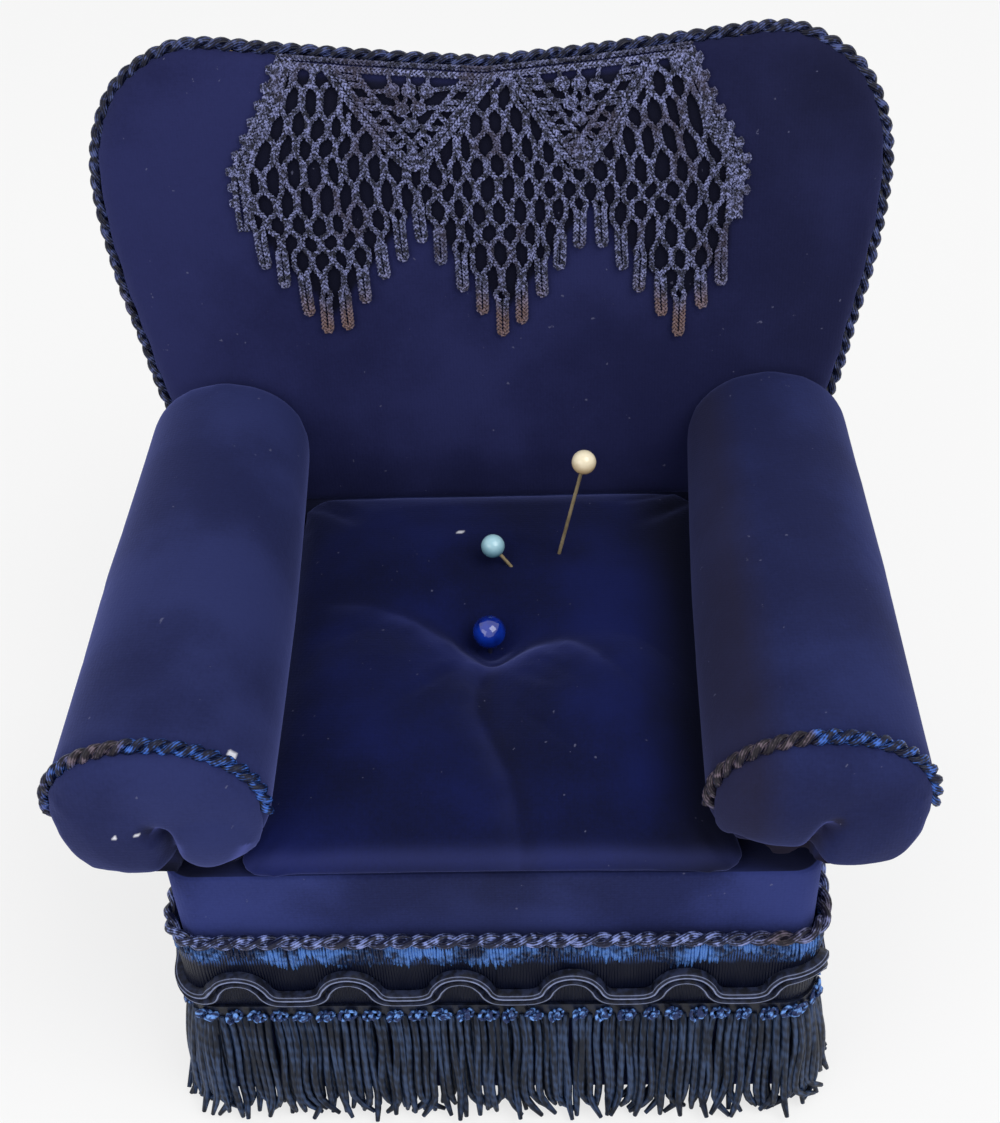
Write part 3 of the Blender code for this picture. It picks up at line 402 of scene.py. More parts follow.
def makeGlass():
    material, shader, start = newMaterial("beadGlass", Roughness=0.05, Coat_Weight=1.0, Coat_Roughness=0.02)
    place = start.coords()
    swirl = between(grain(place, 260.0, 2.0), 0.35, 0.7)
    feed(shader, Base_Color=swirl.mix(color(6, 16, 88), color(14, 52, 168)), Roughness=swirl * 0.05 + 0.03)
    return material


def makePlain(name, dark, light, scale, rough, height, metallic=0.0):
    # felt, card, thread, button and steel: a fine grain over a cloudy tone
    material, shader, start = newMaterial(name, Metallic=metallic)
    place = start.coords()
    fine = grain(place, scale, 4.0, 0.65)
    cloud = grain(place, scale / 12, 2.0)
    tone = between(fine * 0.6 + cloud * 0.5, 0.3, 0.8).mix(dark, light)
    feed(shader, Base_Color=tone, Roughness=fine * 0.15 + (rough - 0.07), Normal=bump(fine, 0.5, height))
    return material


# Padded velvet

simulation = {"scale": 10.0, "frames": 20, "pressure": 4.0, "quality": 5, "bending": 0.4}


def roughHeight(point, size, seed):
    return noise.noise(Vector((point.x / size, point.y / size, point.z / size + seed * 7.1)))


def sculpt(obj, strokes):
    # each stroke is a function that gives how far a point moves, by its place and its normal
    for vert in obj.data.vertices:
        vert.co += sum((stroke(vert.co, vert.normal) for stroke in strokes), Vector())


def plump(obj, spec):
    # cloth under pressure swells the cover; no point keeps more than the cap of its move
    rest = [vert.co.copy() for vert in obj.data.vertices]
    held = obj.vertex_groups.new(name="held")
    for vert in obj.data.vertices:
        held.add([vert.index], clamp(spec["held"](vert.co)), "REPLACE")
    obj.data.transform(Matrix.Scale(simulation["scale"], 4))
    cloth = addModifier(obj, "CLOTH")
    cloth.settings.vertex_group_mass = "held"
    cloth.settings.use_pressure = True
    cloth.settings.uniform_pressure_force = spec.get("pressure", simulation["pressure"])
    cloth.settings.effector_weights.gravity = 0.0
    cloth.settings.quality = simulation["quality"]
    cloth.settings.tension_stiffness = cloth.settings.compression_stiffness = spec["stiffness"]
    cloth.settings.bending_stiffness = simulation["bending"]
    cloth.point_cache.frame_start = 1
    cloth.point_cache.frame_end = simulation["frames"]
    for step in range(1, simulation["frames"] + 1):
        scene.frame_set(step)
    applyModifiers(obj)
    scene.frame_set(1)
    obj.vertex_groups.clear()
    obj.data.transform(Matrix.Scale(1 / simulation["scale"], 4))
    farthest = 0.0
    for vert, start in zip(obj.data.vertices, rest):
        move = vert.co - start
        farthest = max(farthest, move.length)
        if move.length > spec["cap"]:
            vert.co = start + move.normalized() * spec["cap"]
    print("cloth", obj.name, len(rest), "points, farthest move", round(farthest / mm, 2), "mm")


def spread(obj, turn):
    # lowest and highest place of its points, seen along the axes of that frame
    points = [turn @ vert.co for vert in obj.data.vertices]
    return [Vector([end(point[axis] for point in points) for axis in range(3)]) for end in (min, max)]


def makePadded(node, name, spec, strokes=()):
    obj = copyNode(node, name)
    if "before" in spec:
        spec["before"](obj)
    turn = spec.get("turn", Matrix.Identity(3))
    low, high = spread(obj, turn)
    addModifier(obj, "REMESH", mode="VOXEL", voxel_size=spec["voxel"])
    addModifier(obj, "SMOOTH", factor=0.5, iterations=spec["softening"])
    applyModifiers(obj)
    nowLow, nowHigh = spread(obj, turn)
    grow = Vector(spec.get("grow", (0, 0, 0)))
    stretch = [(high[i] - low[i] + 2 * grow[i]) / (nowHigh[i] - nowLow[i]) for i in range(3)]
    for vert in obj.data.vertices:
        place = turn @ vert.co - (nowLow + nowHigh) / 2
        place = Vector([place[i] * stretch[i] for i in range(3)]) + (low + high) / 2
        vert.co = turn.transposed() @ place
    sculpt(obj, strokes)
    plump(obj, spec)
    addModifier(obj, "SUBSURF", levels=1, render_levels=1)
    applyModifiers(obj)
    smoothShade(obj)
    return obj


# The base's rounded outline, which every trim follows

baseLow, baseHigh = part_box("base_cover")
base = {"radius": 4.0 * mm, "half": baseHigh.x}


def roundBase(distance, out=0.0):
    # point and outward direction, at that distance from the middle of the front along the outline
    straight = 2 * (base["half"] - base["radius"])
    arc = base["radius"] * math.pi / 2
    distance = (distance + straight / 2) % (4 * (straight + arc))
    side = int(distance // (straight + arc))
    along = distance - side * (straight + arc)
    facing = side * math.pi / 2 - math.pi / 2
    turn = max(0.0, along - straight) / base["radius"]
    flat = Vector((math.cos(facing), math.sin(facing), 0))
    run = Vector((-flat.y, flat.x, 0))
    normal = Vector((math.cos(facing + turn), math.sin(facing + turn), 0))
    center = flat * (straight / 2) + run * (min(along, straight) - straight / 2)
    return center + normal * (base["radius"] + out), normal


def aroundLength():
    return 8 * (base["half"] - base["radius"]) + 2 * math.pi * base["radius"]


def wrapRound(obj):
    # takes a trim modelled flat (x along, -y outward, z up) and lays it round the base
    along = obj.data.attributes.new("along", "FLOAT", "POINT")
    for index, vert in enumerate(obj.data.vertices):
        along.data[index].value = vert.co.x
        point, _ = roundBase(vert.co.x, -vert.co.y)
        vert.co = Vector((point.x, point.y, vert.co.z))
    return obj


# Twisted cords


def evenly(path, step, closed=False):
    # points along a broken line, as near to that step apart as its length allows
    line = list(path) + ([path[0]] if closed else [])
    lengths = [0.0]
    for a, b in zip(line, line[1:]):
        lengths.append(lengths[-1] + (b - a).length)
    count = max(2, round(lengths[-1] / step))
    points = []
    index = 0
    for i in range(count if closed else count + 1):
        target = lengths[-1] * i / count
        while index < len(line) - 2 and lengths[index + 1] < target:
            index += 1
        share = (target - lengths[index]) / (lengths[index + 1] - lengths[index])
        points.append(line[index].lerp(line[index + 1], clamp(share)))
    return points, lengths[-1]


def newCurve(name, radius, sides):
    data = bpy.data.curves.new(name, "CURVE")
    data.dimensions = "3D"
    data.bevel_depth = radius
    data.bevel_resolution = sides // 2 - 2
    data.use_fill_caps = True
    return data


def addSpline(data, points, closed=False, radii=None):
    spline = data.splines.new("POLY")
    spline.points.add(len(points) - 1)
    for index, (target, point) in enumerate(zip(spline.points, points)):
        target.co = (*point, 1.0)
        if radii:
            target.radius = radii[index]
    spline.use_cyclic_u = closed


def curveToMesh(data, name):
    obj = bpy.data.objects.new(name, data)
    scene.collection.objects.link(obj)
    pick(obj)
    bpy.ops.object.convert(target="MESH")
    obj = bpy.context.object
    obj.name = obj.data.name = name
    cleanMesh(obj, 0.001 * mm)
    smoothShade(obj)
    return obj


def layCord(name, path, plane, spec, closed=False):
    # plies wound round a path that lies in one plane
    points, length = evenly(path, spec["step"], closed)
    turns = round(length / spec["pitch"])
    data = newCurve(name, spec["diameter"] * 0.27, 8)
    count = len(points)
    for ply in range(2):
        line = []
        for index, point in enumerate(points):
            after = points[(index + 1) % count] if closed else points[min(index + 1, count - 1)]
            before = points[index - 1] if closed or index else points[0]
            side = (after - before).cross(plane).normalized()
            angle = 2 * math.pi * turns * index / (count if closed else count - 1) + math.pi * ply
            reach = spec["diameter"] * 0.235
            line.append(point + (side * math.cos(angle) + plane * math.sin(angle)) * reach)
        addSpline(data, line, closed)
    return curveToMesh(data, name)


# Floor, light and camera

view = {
    "place": Vector((10.70, -188.69, 239.36)) * mm,
    "azimuth": 2.89,
    "elevation": 41.06,
    "roll": -2.93,
    "focalPixels": 1600.04,
    "imageHeight": 1123,
    "sensor": 36.0,
}

lighting = {
    "sky": 0.62,
    "lamps": [
        # name, place, size, watts
        ("keyLight", (0.38, -0.30, 0.75), 0.55, 3.2),
        ("fillLight", (-0.55, -0.55, 0.45), 0.60, 1.6),
    ],
}


def makeCamera():
    bpy.ops.object.camera_add()
    camera = bpy.context.object
    azimuth, elevation, roll = (math.radians(view[key]) for key in ("azimuth", "elevation", "roll"))
    level = math.cos(elevation)
    ahead = Vector((-math.sin(azimuth) * level, math.cos(azimuth) * level, -math.sin(elevation)))
    right = Vector((math.cos(azimuth), math.sin(azimuth), 0))
    up = right.cross(ahead)
    rolledRight = right * math.cos(roll) + up * math.sin(roll)
    rolledUp = up * math.cos(roll) - right * math.sin(roll)
    turn = Matrix((rolledRight, rolledUp, -ahead)).transposed().to_4x4()
    turn.translation = view["place"]
    camera.matrix_world = turn
    camera.data.sensor_width = view["sensor"]
    camera.data.lens = view["focalPixels"] * view["sensor"] / view["imageHeight"]
    camera.data.clip_start = 0.01
    scene.camera = camera


def makeStage():
    clearSelection()
    bpy.ops.mesh.primitive_plane_add(size=6.0)
    floor = keepAs("studioFloor")
    material, shader, start = newMaterial("paleFloor", Base_Color=(0.9, 0.9, 0.9, 1.0), Roughness=0.9)
    tree = material.node_tree
    seen = start.add("LightPath", output="Is Camera Ray")
    glow = start.add("Emission", None, {"Color": (1, 1, 1, 1), "Strength": 1.0})
    mixed = start.add("MixShader", None, {0: seen * 0.72, 1: Wire(tree, shader.outputs[0]), 2: glow})
    tree.links.new(mixed.socket, tree.nodes["Material Output"].inputs["Surface"])
    floor.data.materials.append(material)

    world = bpy.data.worlds.new("paleRoom")
    world.use_nodes = True
    scene.world = world
    start = Wire(world.node_tree)
    kinds = ("Is Camera Ray", "Is Glossy Ray", "Is Transmission Ray")
    straight, glossy, through = (start.add("LightPath", output=kind) for kind in kinds)
    direct = start.calc("MINIMUM", straight + glossy * 0.6 + through, 1.0)
    backdrop = world.node_tree.nodes["Background"]
    backdrop.inputs["Color"].default_value = (1, 1, 1, 1)
    strength = direct * (1 - lighting["sky"]) + lighting["sky"]
    world.node_tree.links.new(strength.socket, backdrop.inputs["Strength"])

    target = Vector((0, 0, 0.05))
    for name, place, size, watts in lighting["lamps"]:
        bpy.ops.object.light_add(type="AREA", location=place)
        lamp = bpy.context.object
        lamp.name = name
        lamp.data.size = size
        lamp.data.energy = watts
        lamp.rotation_euler = (target - Vector(place)).to_track_quat("-Z", "Y").to_euler()
    scene.view_settings.view_transform = "Standard"


clearSelection()
makeCamera()
makeStage()
print("camera, floor and lights are in place")

velvet = {key: makeVelvet(key + "Velvet", *tones) for key, tones in velvetTones.items()}


# Seat cushion

seat = {
    "voxel": 1.1 * mm,
    "softening": 3,
    "cap": 1.2 * mm,
    "pressure": 3.0,
    "stiffness": 60.0,
    "tuft": Vector((-1.1, -0.9, 0)) * mm,
    "bulges": [(-17.0, -22.0, 16.5, 19.5), (16.5, -23.0, 15.0, 18.5)],
    "bulgeRise": 0.9 * mm,
    # broken lines seen from above, in mm: the crest over the two full halves, and the crease from
    # the tuft to the front
    "crest": [
        (-27.0, 3.2), (-20.7, 2.7), (-15.5, 1.0), (-11.4, -1.1), (-7.2, -3.9),
        (-3.4, -7.2), (-1.0, -8.4), (1.8, -7.7), (4.8, -6.3), (8.3, -5.6), (12.2, -7.0), (16.0, -10.6),
    ],
    "crease": [
        (-1.4, -8.8), (-2.9, -15.6), (-2.6, -20.9), (-0.2, -27.4), (2.2, -34.2), (3.6, -40.6), (4.3, -46.2),
    ],
    "plugCut": 52.0 * mm,
    "topFrom": 57.5 * mm,
    "lint": Vector((-6.5, 21.3)) * mm,
    "lintRadius": 0.42 * mm,
}
seatLow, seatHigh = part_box("seat_cushion")


def seatBulges(point, normal):
    # the two full front halves of the cushion
    if normal.z < 0.3:
        return Vector()
    lift = 0.0
    for x, y, wide, deep in seat["bulges"]:
        reach = math.hypot((point.x / mm - x) / wide, (point.y / mm - y) / deep)
        lift += max(0.0, 1 - reach**3)
    return Vector((0, 0, seat["bulgeRise"] * min(lift, 1.0)))


def nearLine(a, b, line):
    # signed distance to a broken line, positive to the left of its run, and the share of its
    # corners passed
    best = (1e9, 0.0)
    for index, ((a0, b0), (a1, b1)) in enumerate(zip(line, line[1:])):
        run = Vector((a1 - a0, b1 - b0))
        here = Vector((a - a0, b - b0))
        share = clamp(here.dot(run) / run.length_squared)
        away = (here - run * share).length
        if away < abs(best[0]):
            side = run.x * here.y - run.y * here.x
            best = (math.copysign(away, side), (index + share) / (len(line) - 1))
    return best


def seatLines(point):
    # signed distances from the crest (behind it is positive) and the crease, and how strong each is there
    behind, _ = nearLine(point.x / mm, point.y / mm, seat["crest"])
    right, share = nearLine(point.x / mm, point.y / mm, seat["crease"])
    crestStrength = max(0.0, 1 - abs(point.x / mm + 1) / 27) ** 0.8
    creaseStrength = 1 - 0.45 * share if point.y < -8 * mm else 0.0
    return behind, crestStrength, right, creaseStrength


# rises, dips, painted shade and painted highlight across the crest and the crease: middle, width, strength,
# in mm
seatStripes = {
    "crestRise": (-0.3, 2.0, 0.75),
    "crestRiseBehind": (-0.3, 0.8, 0.75),
    "crestDip": (2.0, 1.3, 0.6),
    "creaseRise": (-1.7, 1.3, 0.4),
    "creaseDip": (0.2, 1.1, 0.95),
    "crestShade": (1.8, 1.6, 0.5),
    "creaseShade": (1.3, 1.5, 0.42),
    "crestHighlight": (-0.1, 2.2, 0.34),
    "crestHighlightBehind": (-0.1, 0.5, 0.34),
    "creaseHighlight": (-0.4, 2.6, 0.12),
    "creaseHighlightRight": (-0.4, 0.6, 0.12),
    "frontHighlight": (-46.6, 1.3, 0.2),
}


def stripe(name, distance):
    middle, width, strength = seatStripes[name]
    return bell(distance - middle, width) * strength


def seatFolds(point, normal):
    if normal.z < 0.3:
        return Vector()
    behind, crestStrength, right, creaseStrength = seatLines(point)
    rise = "crestRiseBehind" if behind > 0 else "crestRise"
    crest = stripe(rise, behind) - stripe("crestDip", behind)
    crease = stripe("creaseRise", right) - stripe("creaseDip", right)
    return Vector((0, 0, (crest * crestStrength + crease * creaseStrength) * mm))


def seatTone(point):
    # painted shade behind the folds, at the right side where the right arm's shadow falls, and towards the
    # rear; painted highlight on the folds and the front rim; one fleck of lint
    if point.z < seat["topFrom"]:
        return 0.0, 0.0, 0.0
    behind, crestStrength, right, creaseStrength = seatLines(point)
    uneven = 0.75 + 0.7 * roughHeight(point, 5 * mm, 1)
    shade = stripe("crestShade", behind) * crestStrength + stripe("creaseShade", right) * creaseStrength
    # painted shadow of the right arm along the seat's right side, and painted shade towards the rear
    shade += 0.8 * clamp((point.x - 22 * mm) / (8 * mm)) + 0.2 * clamp(point.y / (25 * mm))
    crestHighlight = "crestHighlightBehind" if behind > -0.1 else "crestHighlight"
    creaseHighlight = "creaseHighlightRight" if right > -0.4 else "creaseHighlight"
    rub = stripe(crestHighlight, behind) * crestStrength * uneven
    rub += stripe(creaseHighlight, right) * creaseStrength * uneven + stripe("frontHighlight", point.y / mm)
    lint = 1.0 if (point.xy - seat["lint"]).length < seat["lintRadius"] else 0.0
    return shade, rub, lint


def seatCorners(point, normal):
    # the front corners run out to points
    if point.z < 56 * mm:
        return Vector()
    near = max(0.0, 1 - math.hypot(abs(point.x) - 34 * mm, point.y + 46.5 * mm) / (6 * mm))
    return Vector((math.copysign(1.3, point.x), -1.3, 0)) * mm * near


def heldSeat(point):
    # the seam, all below it, and the velvet under the bead don't move
    fromTuft = math.hypot(point.x - seat["tuft"].x, point.y - seat["tuft"].y) / mm
    return max(1.0 if point.z < 58.6 * mm else 0.0, (5.5 - fromTuft) / 2)


def cutPlug(obj):
    # leaves the pillow and the top of the plug
    startEdit()
    bpy.ops.mesh.bisect(plane_co=(0, 0, seat["plugCut"]), plane_no=(0, 0, 1), use_fill=True, clear_inner=True)
    setMode("OBJECT")


def growPlug(obj):
    # draws the cut face down again to the plug's full depth
    pick(obj)
    startEdit("DESELECT")
    setMode("OBJECT")
    for face in obj.data.polygons:
        face.select = face.normal.z < -0.95 and face.center.z < seat["plugCut"] + 0.5 * mm
    setMode("EDIT")
    bpy.ops.mesh.dissolve_limited(angle_limit=math.radians(8))
    bpy.ops.mesh.extrude_region_move(TRANSFORM_OT_translate={"value": (0, 0, seatLow.z - seat["plugCut"])})
    bpy.ops.mesh.select_all(action="SELECT")
    bpy.ops.mesh.normals_make_consistent(inside=False)
    setMode("OBJECT")


seat["held"] = heldSeat
seat["before"] = cutPlug
seatPad = makePadded("seat_cushion", "seatPad", seat, [seatBulges, seatFolds, seatCorners])
markTone(seatPad, seatTone)
growPlug(seatPad)
dress(seatPad, velvet["seat"], "velvet_seat", "seat_cushion")
print("seat cushion is stuffed")


# Arms

armMiddle = 72.7 * mm


def heldRoll(point):
    # the underside and both ends are sewn down
    return max((61.5 * mm - point.z) / mm, (point.y - 36 * mm) / (2 * mm), (-44.2 * mm - point.y) / mm)


def heldPanel(point):
    return (point.y + 47.6 * mm) / (0.5 * mm)


arms = {
    "voxel": 1.2 * mm,
    "softening": 6,
    "cap": 0.6 * mm,
    "held": heldRoll,
    "pressure": 2.0,
    "stiffness": 40.0,
    "grow": (0.4 * mm, 0, 0.25 * mm),
}
# How the front ends are drawn in at the bottom, as (x, z) in mm: the rim of the inner lobe, which gets a
# painted highlight, the creases beside it with their depth and width, the lobes (x, z, reach, rise), the
# hollow under the rim (x from, x to, z, depth), and flecks of lint (x, z)
tucks = {
    "left": {
        "rim": [
            (-45.4, 72.7), (-43.4, 71.4), (-42.3, 69.0), (-42.8, 65.6),
            (-41.0, 63.4), (-37.8, 63.4), (-35.3, 64.8), (-32.8, 68.4),
        ],
        "creases": [
            ([(-45.6, 71.8), (-44.3, 70.4), (-43.6, 68.4), (-44.1, 65.0), (-44.0, 57.0)], 3.4, 1.1),
            ([(-43.8, 63.0), (-41.0, 61.7), (-37.5, 61.7), (-34.0, 63.0)], 2.2, 1.1),
        ],
        "lobes": [(-38.0, 67.5, 6.0, 1.2), (-51.5, 67.0, 9.0, 0.9)],
        "hollow": (-43.8, -31.0, 61.6, 2.4),
        "lint": [(-50.2, 71.3), (-47.2, 71.6)],
    },
    "right": {
        "rim": [(46.2, 72.8), (44.6, 69.9), (43.8, 67.8), (41.7, 66.2), (38.6, 66.8), (34.8, 68.0)],
        "creases": [
            ([(46.9, 72.0), (45.6, 69.2), (44.9, 67.0), (44.4, 57.0)], 3.0, 1.1),
            ([(44.6, 65.6), (41.7, 64.4), (38.6, 65.0), (34.0, 66.2)], 2.6, 1.2),
        ],
        "lobes": [(38.5, 71.5, 6.5, 1.0), (52.5, 67.0, 9.0, 0.9)],
        "hollow": (31.0, 44.4, 64.6, 3.2),
        "lint": [],
    },
}


def drawIn(side, share):
    # how far the front end of an arm is drawn back, its panel fully and its roll by that share
    spec = tucks[side]

    def stroke(point, normal):
        if normal.y > -0.2:
            return Vector()
        x = point.x / mm
        z = point.z / mm
        move = 0.95 * max(0.0, 62.5 - z)
        for line, depth, width in spec["creases"]:
            away, along = nearLine(x, z, line)
            move += depth * bell(away, width) * min(1.0, 0.2 + 2.2 * along)
        low, high, top, depth = spec["hollow"]
        inside = clamp(min(x - low, high - x) / 1.2) * clamp((top - z) / 1.4)
        move = max(move, depth * inside)
        for x0, z0, reach, rise in spec["lobes"]:
            move -= rise * max(0.0, 1 - (math.hypot(x - x0, z - z0) / reach) ** 2)
        return Vector((0, min(move, 5.0) * share * mm, 0)) if share == 1 or move > 0 else Vector()

    return stroke


armLooks = {
    "frontBefore": -45,
    "tuckedBelow": 75,
    # the rim's painted highlight: its drop below the rim line, strength and width; then painted shade in the
    # creases, the hollow and at the foot
    "rim": {"drop": 0.8, "rub": 0.75, "width": 0.9},
    "creaseShade": 0.75,
    "hollowShade": 0.9,
    "footShade": 0.85,
    # fleck of lint on top of the left arm: x, y, radius
    "topLint": (-33.9, -44.4, 0.5),
    "frontLint": 0.3,
    # the right arm's inner side lies in shade: up to where, over how far, how dark, least of it
    "inner": (42, 6, 0.6, 0.12),
}


def armTone(side):
    # painted shade in the creases, the hollow, at the foot and on the right arm's inner side; painted
    # highlight on the rim; flecks of lint; lengths in mm
    spec = tucks[side]

    def tell(point):
        x, y, z = point / mm
        rub = shade = lint = 0.0
        if y < armLooks["frontBefore"] and z < armLooks["tuckedBelow"]:
            rim = armLooks["rim"]
            away, along = nearLine(x, z + rim["drop"], spec["rim"])
            rub = rim["rub"] * bell(away, rim["width"]) if 0.03 < along < 0.99 else 0.0
            for line, _, width in spec["creases"]:
                shade = max(shade, armLooks["creaseShade"] * bell(nearLine(x, z, line)[0], width))
            low, high, top, _ = spec["hollow"]
            if low < x < high and z < top:
                shade = armLooks["hollowShade"]
            shade = max(shade, clamp((61.5 - z) / 3, armLooks["footShade"]))
            flecks = (math.hypot(x - x0, z - z0) for x0, z0 in spec["lint"])
            lint = 1.0 if any(away < armLooks["frontLint"] for away in flecks) else 0.0
        x0, y0, radius = armLooks["topLint"]
        if math.hypot(x - x0, y - y0) < radius and z > armLooks["tuckedBelow"]:
            lint = 1.0
        if side == "right":
            upTo, over, dark, least = armLooks["inner"]
            shade = max(shade, dark * clamp((upTo - x) / over), least)
        return shade, rub, lint

    return tell


panels = {
    "voxel": 0.7 * mm,
    "softening": 3,
    "cap": 0.6 * mm,
    "held": heldPanel,
    "stiffness": 30.0,
    "grow": (0.9 * mm, 0.3 * mm, 0.8 * mm),
}

for side in ("left", "right"):
    roll = makePadded(side + "_arm_roll", side + "ArmRoll", arms, [drawIn(side, 0.8)])
    markTone(roll, armTone(side))
    dress(roll, velvet[side + "Arm"], "velvet", side + "_arm_roll")
    panel = makePadded(side + "_arm_front_panel", side + "ArmPanel", panels, [drawIn(side, 1.0)])
    markTone(panel, armTone(side))
    dress(panel, velvet[side + "Arm"], "velvet", side + "_arm_front_panel")
print("arms are stuffed")


# Back: its plane, its outline and its two pads

back = {
    "lean": math.radians(10),
    "foot": Vector((0, 36.54, 57.2)) * mm,
    "footHalf": 45.5 * mm,
    "halfWidth": 63.35 * mm,
    "height": 80.1 * mm,
    # half outline as shares of the half width and the height, from above the foot to the top's middle
    "shares": [
        (0.829, 0.125), (0.901, 0.250), (0.944, 0.412), (0.977, 0.537), (1.000, 0.712), (0.982, 0.830),
        (0.919, 0.926), (0.813, 0.984), (0.718, 1.000), (0.529, 0.986), (0.268, 0.965), (0.000, 0.948),
    ],
}
backUp = Vector((0, math.sin(back["lean"]), math.cos(back["lean"])))
backOut = Vector((0, -math.cos(back["lean"]), math.sin(back["lean"])))


def backPoint(x, height, out=0.0):
    return back["foot"] + Vector((x, 0, 0)) + backUp * height + backOut * out


def smoothLine(points, steps):
    ends = [2 * points[0] - points[1], *points, 2 * points[-1] - points[-2]]
    line = []
    for a, b, c, d in zip(ends, ends[1:], ends[2:], ends[3:]):
        for step in range(steps):
            t = step / steps
            second = (2 * a - 5 * b + 4 * c - d) * t**2
            third = (3 * b - a - 3 * c + d) * t**3
            line.append(0.5 * (2 * b + (c - a) * t + second + third))
    return [*line, points[-1]]


def backOutline():
    half = [Vector((back["footHalf"], 0))]
    half += [Vector((x * back["halfWidth"], y * back["height"])) for x, y in back["shares"]]
    half = smoothLine(half, 6)
    return half + [Vector((-point.x, point.y)) for point in reversed(half[:-1])]


backTops = [point for point in backOutline() if point.y > back["height"] * 0.9 and point.x >= 0]


def topOfBack(x):
    for a, b in zip(backTops, backTops[1:]):
        if b.x <= abs(x) <= a.x:
            return a.y + (b.y - a.y) * (a.x - abs(x)) / (a.x - b.x)
    return backTops[0].y


def outOf(point):
    return (point - back["foot"]).dot(backOut)


def heldFront(point):
    return (-1.0 * mm - outOf(point)) / (0.4 * mm)


def heldRear(point):
    return (outOf(point) + 9.2 * mm) / (0.4 * mm)


backPads = {
    "voxel": 1.3 * mm,
    "softening": 2,
    "cap": 0.4 * mm,
    "stiffness": 60.0,
    "pressure": 1.0,
    "turn": Matrix(((1, 0, 0), backOut, backUp)),
    "grow": (0.9 * mm, 0, 0.9 * mm),
}
frontPad = makePadded("back_front_pad", "backFrontVelvet", {**backPads, "held": heldFront})
dress(frontPad, velvet["back"], "velvet", "back_front_pad")
rearPad = makePadded("back_rear_pad", "backRearVelvet", {**backPads, "held": heldRear})
dress(rearPad, velvet["rear"], "velvet", "back_rear_pad")
print("back is padded")


# Velvet cover of the base

# turnIn is where the ledge starts; the well's half width, front and rear follow
cover = {"wall": 1.0 * mm, "rim": 1.3 * mm, "turnIn": 3.0 * mm, "well": (31.3 * mm, -41.7 * mm, 35.3 * mm)}


def makeCover():
    clearSelection()
    size = baseHigh - baseLow
    bpy.ops.mesh.primitive_cube_add(size=1.0, location=(baseLow + baseHigh) / 2, scale=size)
    obj = keepAs("baseVelvet")
    setMode("EDIT")
    bpy.ops.mesh.select_mode(type="EDGE")
    bpy.ops.mesh.select_all(action="DESELECT")
    setMode("OBJECT")
    points = [vert.co for vert in obj.data.vertices]
    for edge in obj.data.edges:
        a, b = (points[i] for i in edge.vertices)
        edge.select = abs(a.z - b.z) > size.z / 2
    setMode("EDIT")
    bpy.ops.mesh.bevel(offset=base["radius"], segments=8, affect="EDGES")
    for upward in (-1, 1):
        bpy.ops.mesh.select_mode(type="FACE")
        bpy.ops.mesh.select_all(action="DESELECT")
        setMode("OBJECT")
        for face in obj.data.polygons:
            face.select = face.normal.z * upward > 0.9
        setMode("EDIT")
        if upward > 0:
            bpy.ops.mesh.inset(thickness=cover["turnIn"], depth=0)
        bpy.ops.mesh.delete(type="FACE")
    bpy.ops.mesh.select_mode(type="EDGE")
    bpy.ops.mesh.select_all(action="DESELECT")
    setMode("OBJECT")
    points = [vert.co for vert in obj.data.vertices]
    edgeReach = base["half"] - 0.5 * cover["turnIn"]
    for point in points:
        if point.z > baseHigh.z - 0.01 * mm and max(abs(point.x), abs(point.y)) < edgeReach:
            point.x = math.copysign(cover["well"][0], point.x)
            point.y = cover["well"][1] if point.y < 0 else cover["well"][2]
    for edge in obj.data.edges:
        ends = [points[i] for i in edge.vertices]
        edge.select = all(p.z > baseHigh.z - 0.01 * mm and max(abs(p.x), abs(p.y)) > edgeReach for p in ends)
    setMode("EDIT")
    bpy.ops.mesh.bevel(offset=cover["rim"], segments=3, affect="EDGES")
    setMode("OBJECT")
    addModifier(obj, "SOLIDIFY", thickness=cover["wall"], offset=-1.0)
    applyModifiers(obj)
    smoothShade(obj, 40)
    return obj


def baseTone(point):
    # darker in the middle of the apron, and painted shadow on the ledges under the arms
    x = point.x / mm
    ledge = 0.85 if point.z > 57 * mm and abs(x) > 31 else 0.0
    return max(0.5 * bell(x, 18), ledge), 0.0, 0.0


baseCover = makeCover()
addModifier(baseCover, "SUBSURF", levels=2, render_levels=2, subdivision_type="SIMPLE")
applyModifiers(baseCover)
markTone(baseCover, baseTone)
dress(baseCover, velvet["base"], "velvet", "base_cover")
print("base is covered")


# Twisted cords

brown = (color(30, 25, 32), color(112, 98, 110))
silk = {
    "back": makeCordSilk("backCordSilk", color(12, 15, 34), color(78, 90, 142), brown, 0.02),
    "arm": makeCordSilk("armCordSilk", color(10, 15, 40), color(66, 112, 206), brown, -0.1),
    "base": makeCordSilk("baseCordSilk", color(16, 19, 44), color(142, 158, 222), brown, 0.06),
}
cords = {
    "back": {
        "diameter": 2.35 * mm,
        "pitch": 5.6 * mm,
        "step": 0.42 * mm,
        "out": 1.45 * mm,
        "depth": -3.85 * mm,
        "endRise": 1.6 * mm,
    },
    "arm": {
        "diameter": 2.3 * mm,
        "pitch": 4.4 * mm,
        "step": 0.36 * mm,
        "lift": 0.1 * mm,
        "plane": -46.3 * mm,
        "turns": (-8, 188),
    },
    "base": {"diameter": 2.3 * mm, "pitch": 6.6 * mm, "step": 0.5 * mm, "out": 1.5 * mm, "height": 43.7 * mm},
}
armShape = {"half": 14.9 * mm, "top": 11.1 * mm, "belly": 15.2 * mm, "frontX": 45.3 * mm}


def armEdge(angle, lift):
    c = math.cos(angle)
    s = math.sin(angle)
    power, high = (2.0, armShape["top"]) if s >= 0 else (2.5, armShape["belly"])
    reach = (abs(c / armShape["half"]) ** power + abs(s / high) ** power) ** (-1 / power) + lift
    return reach * c, reach * s


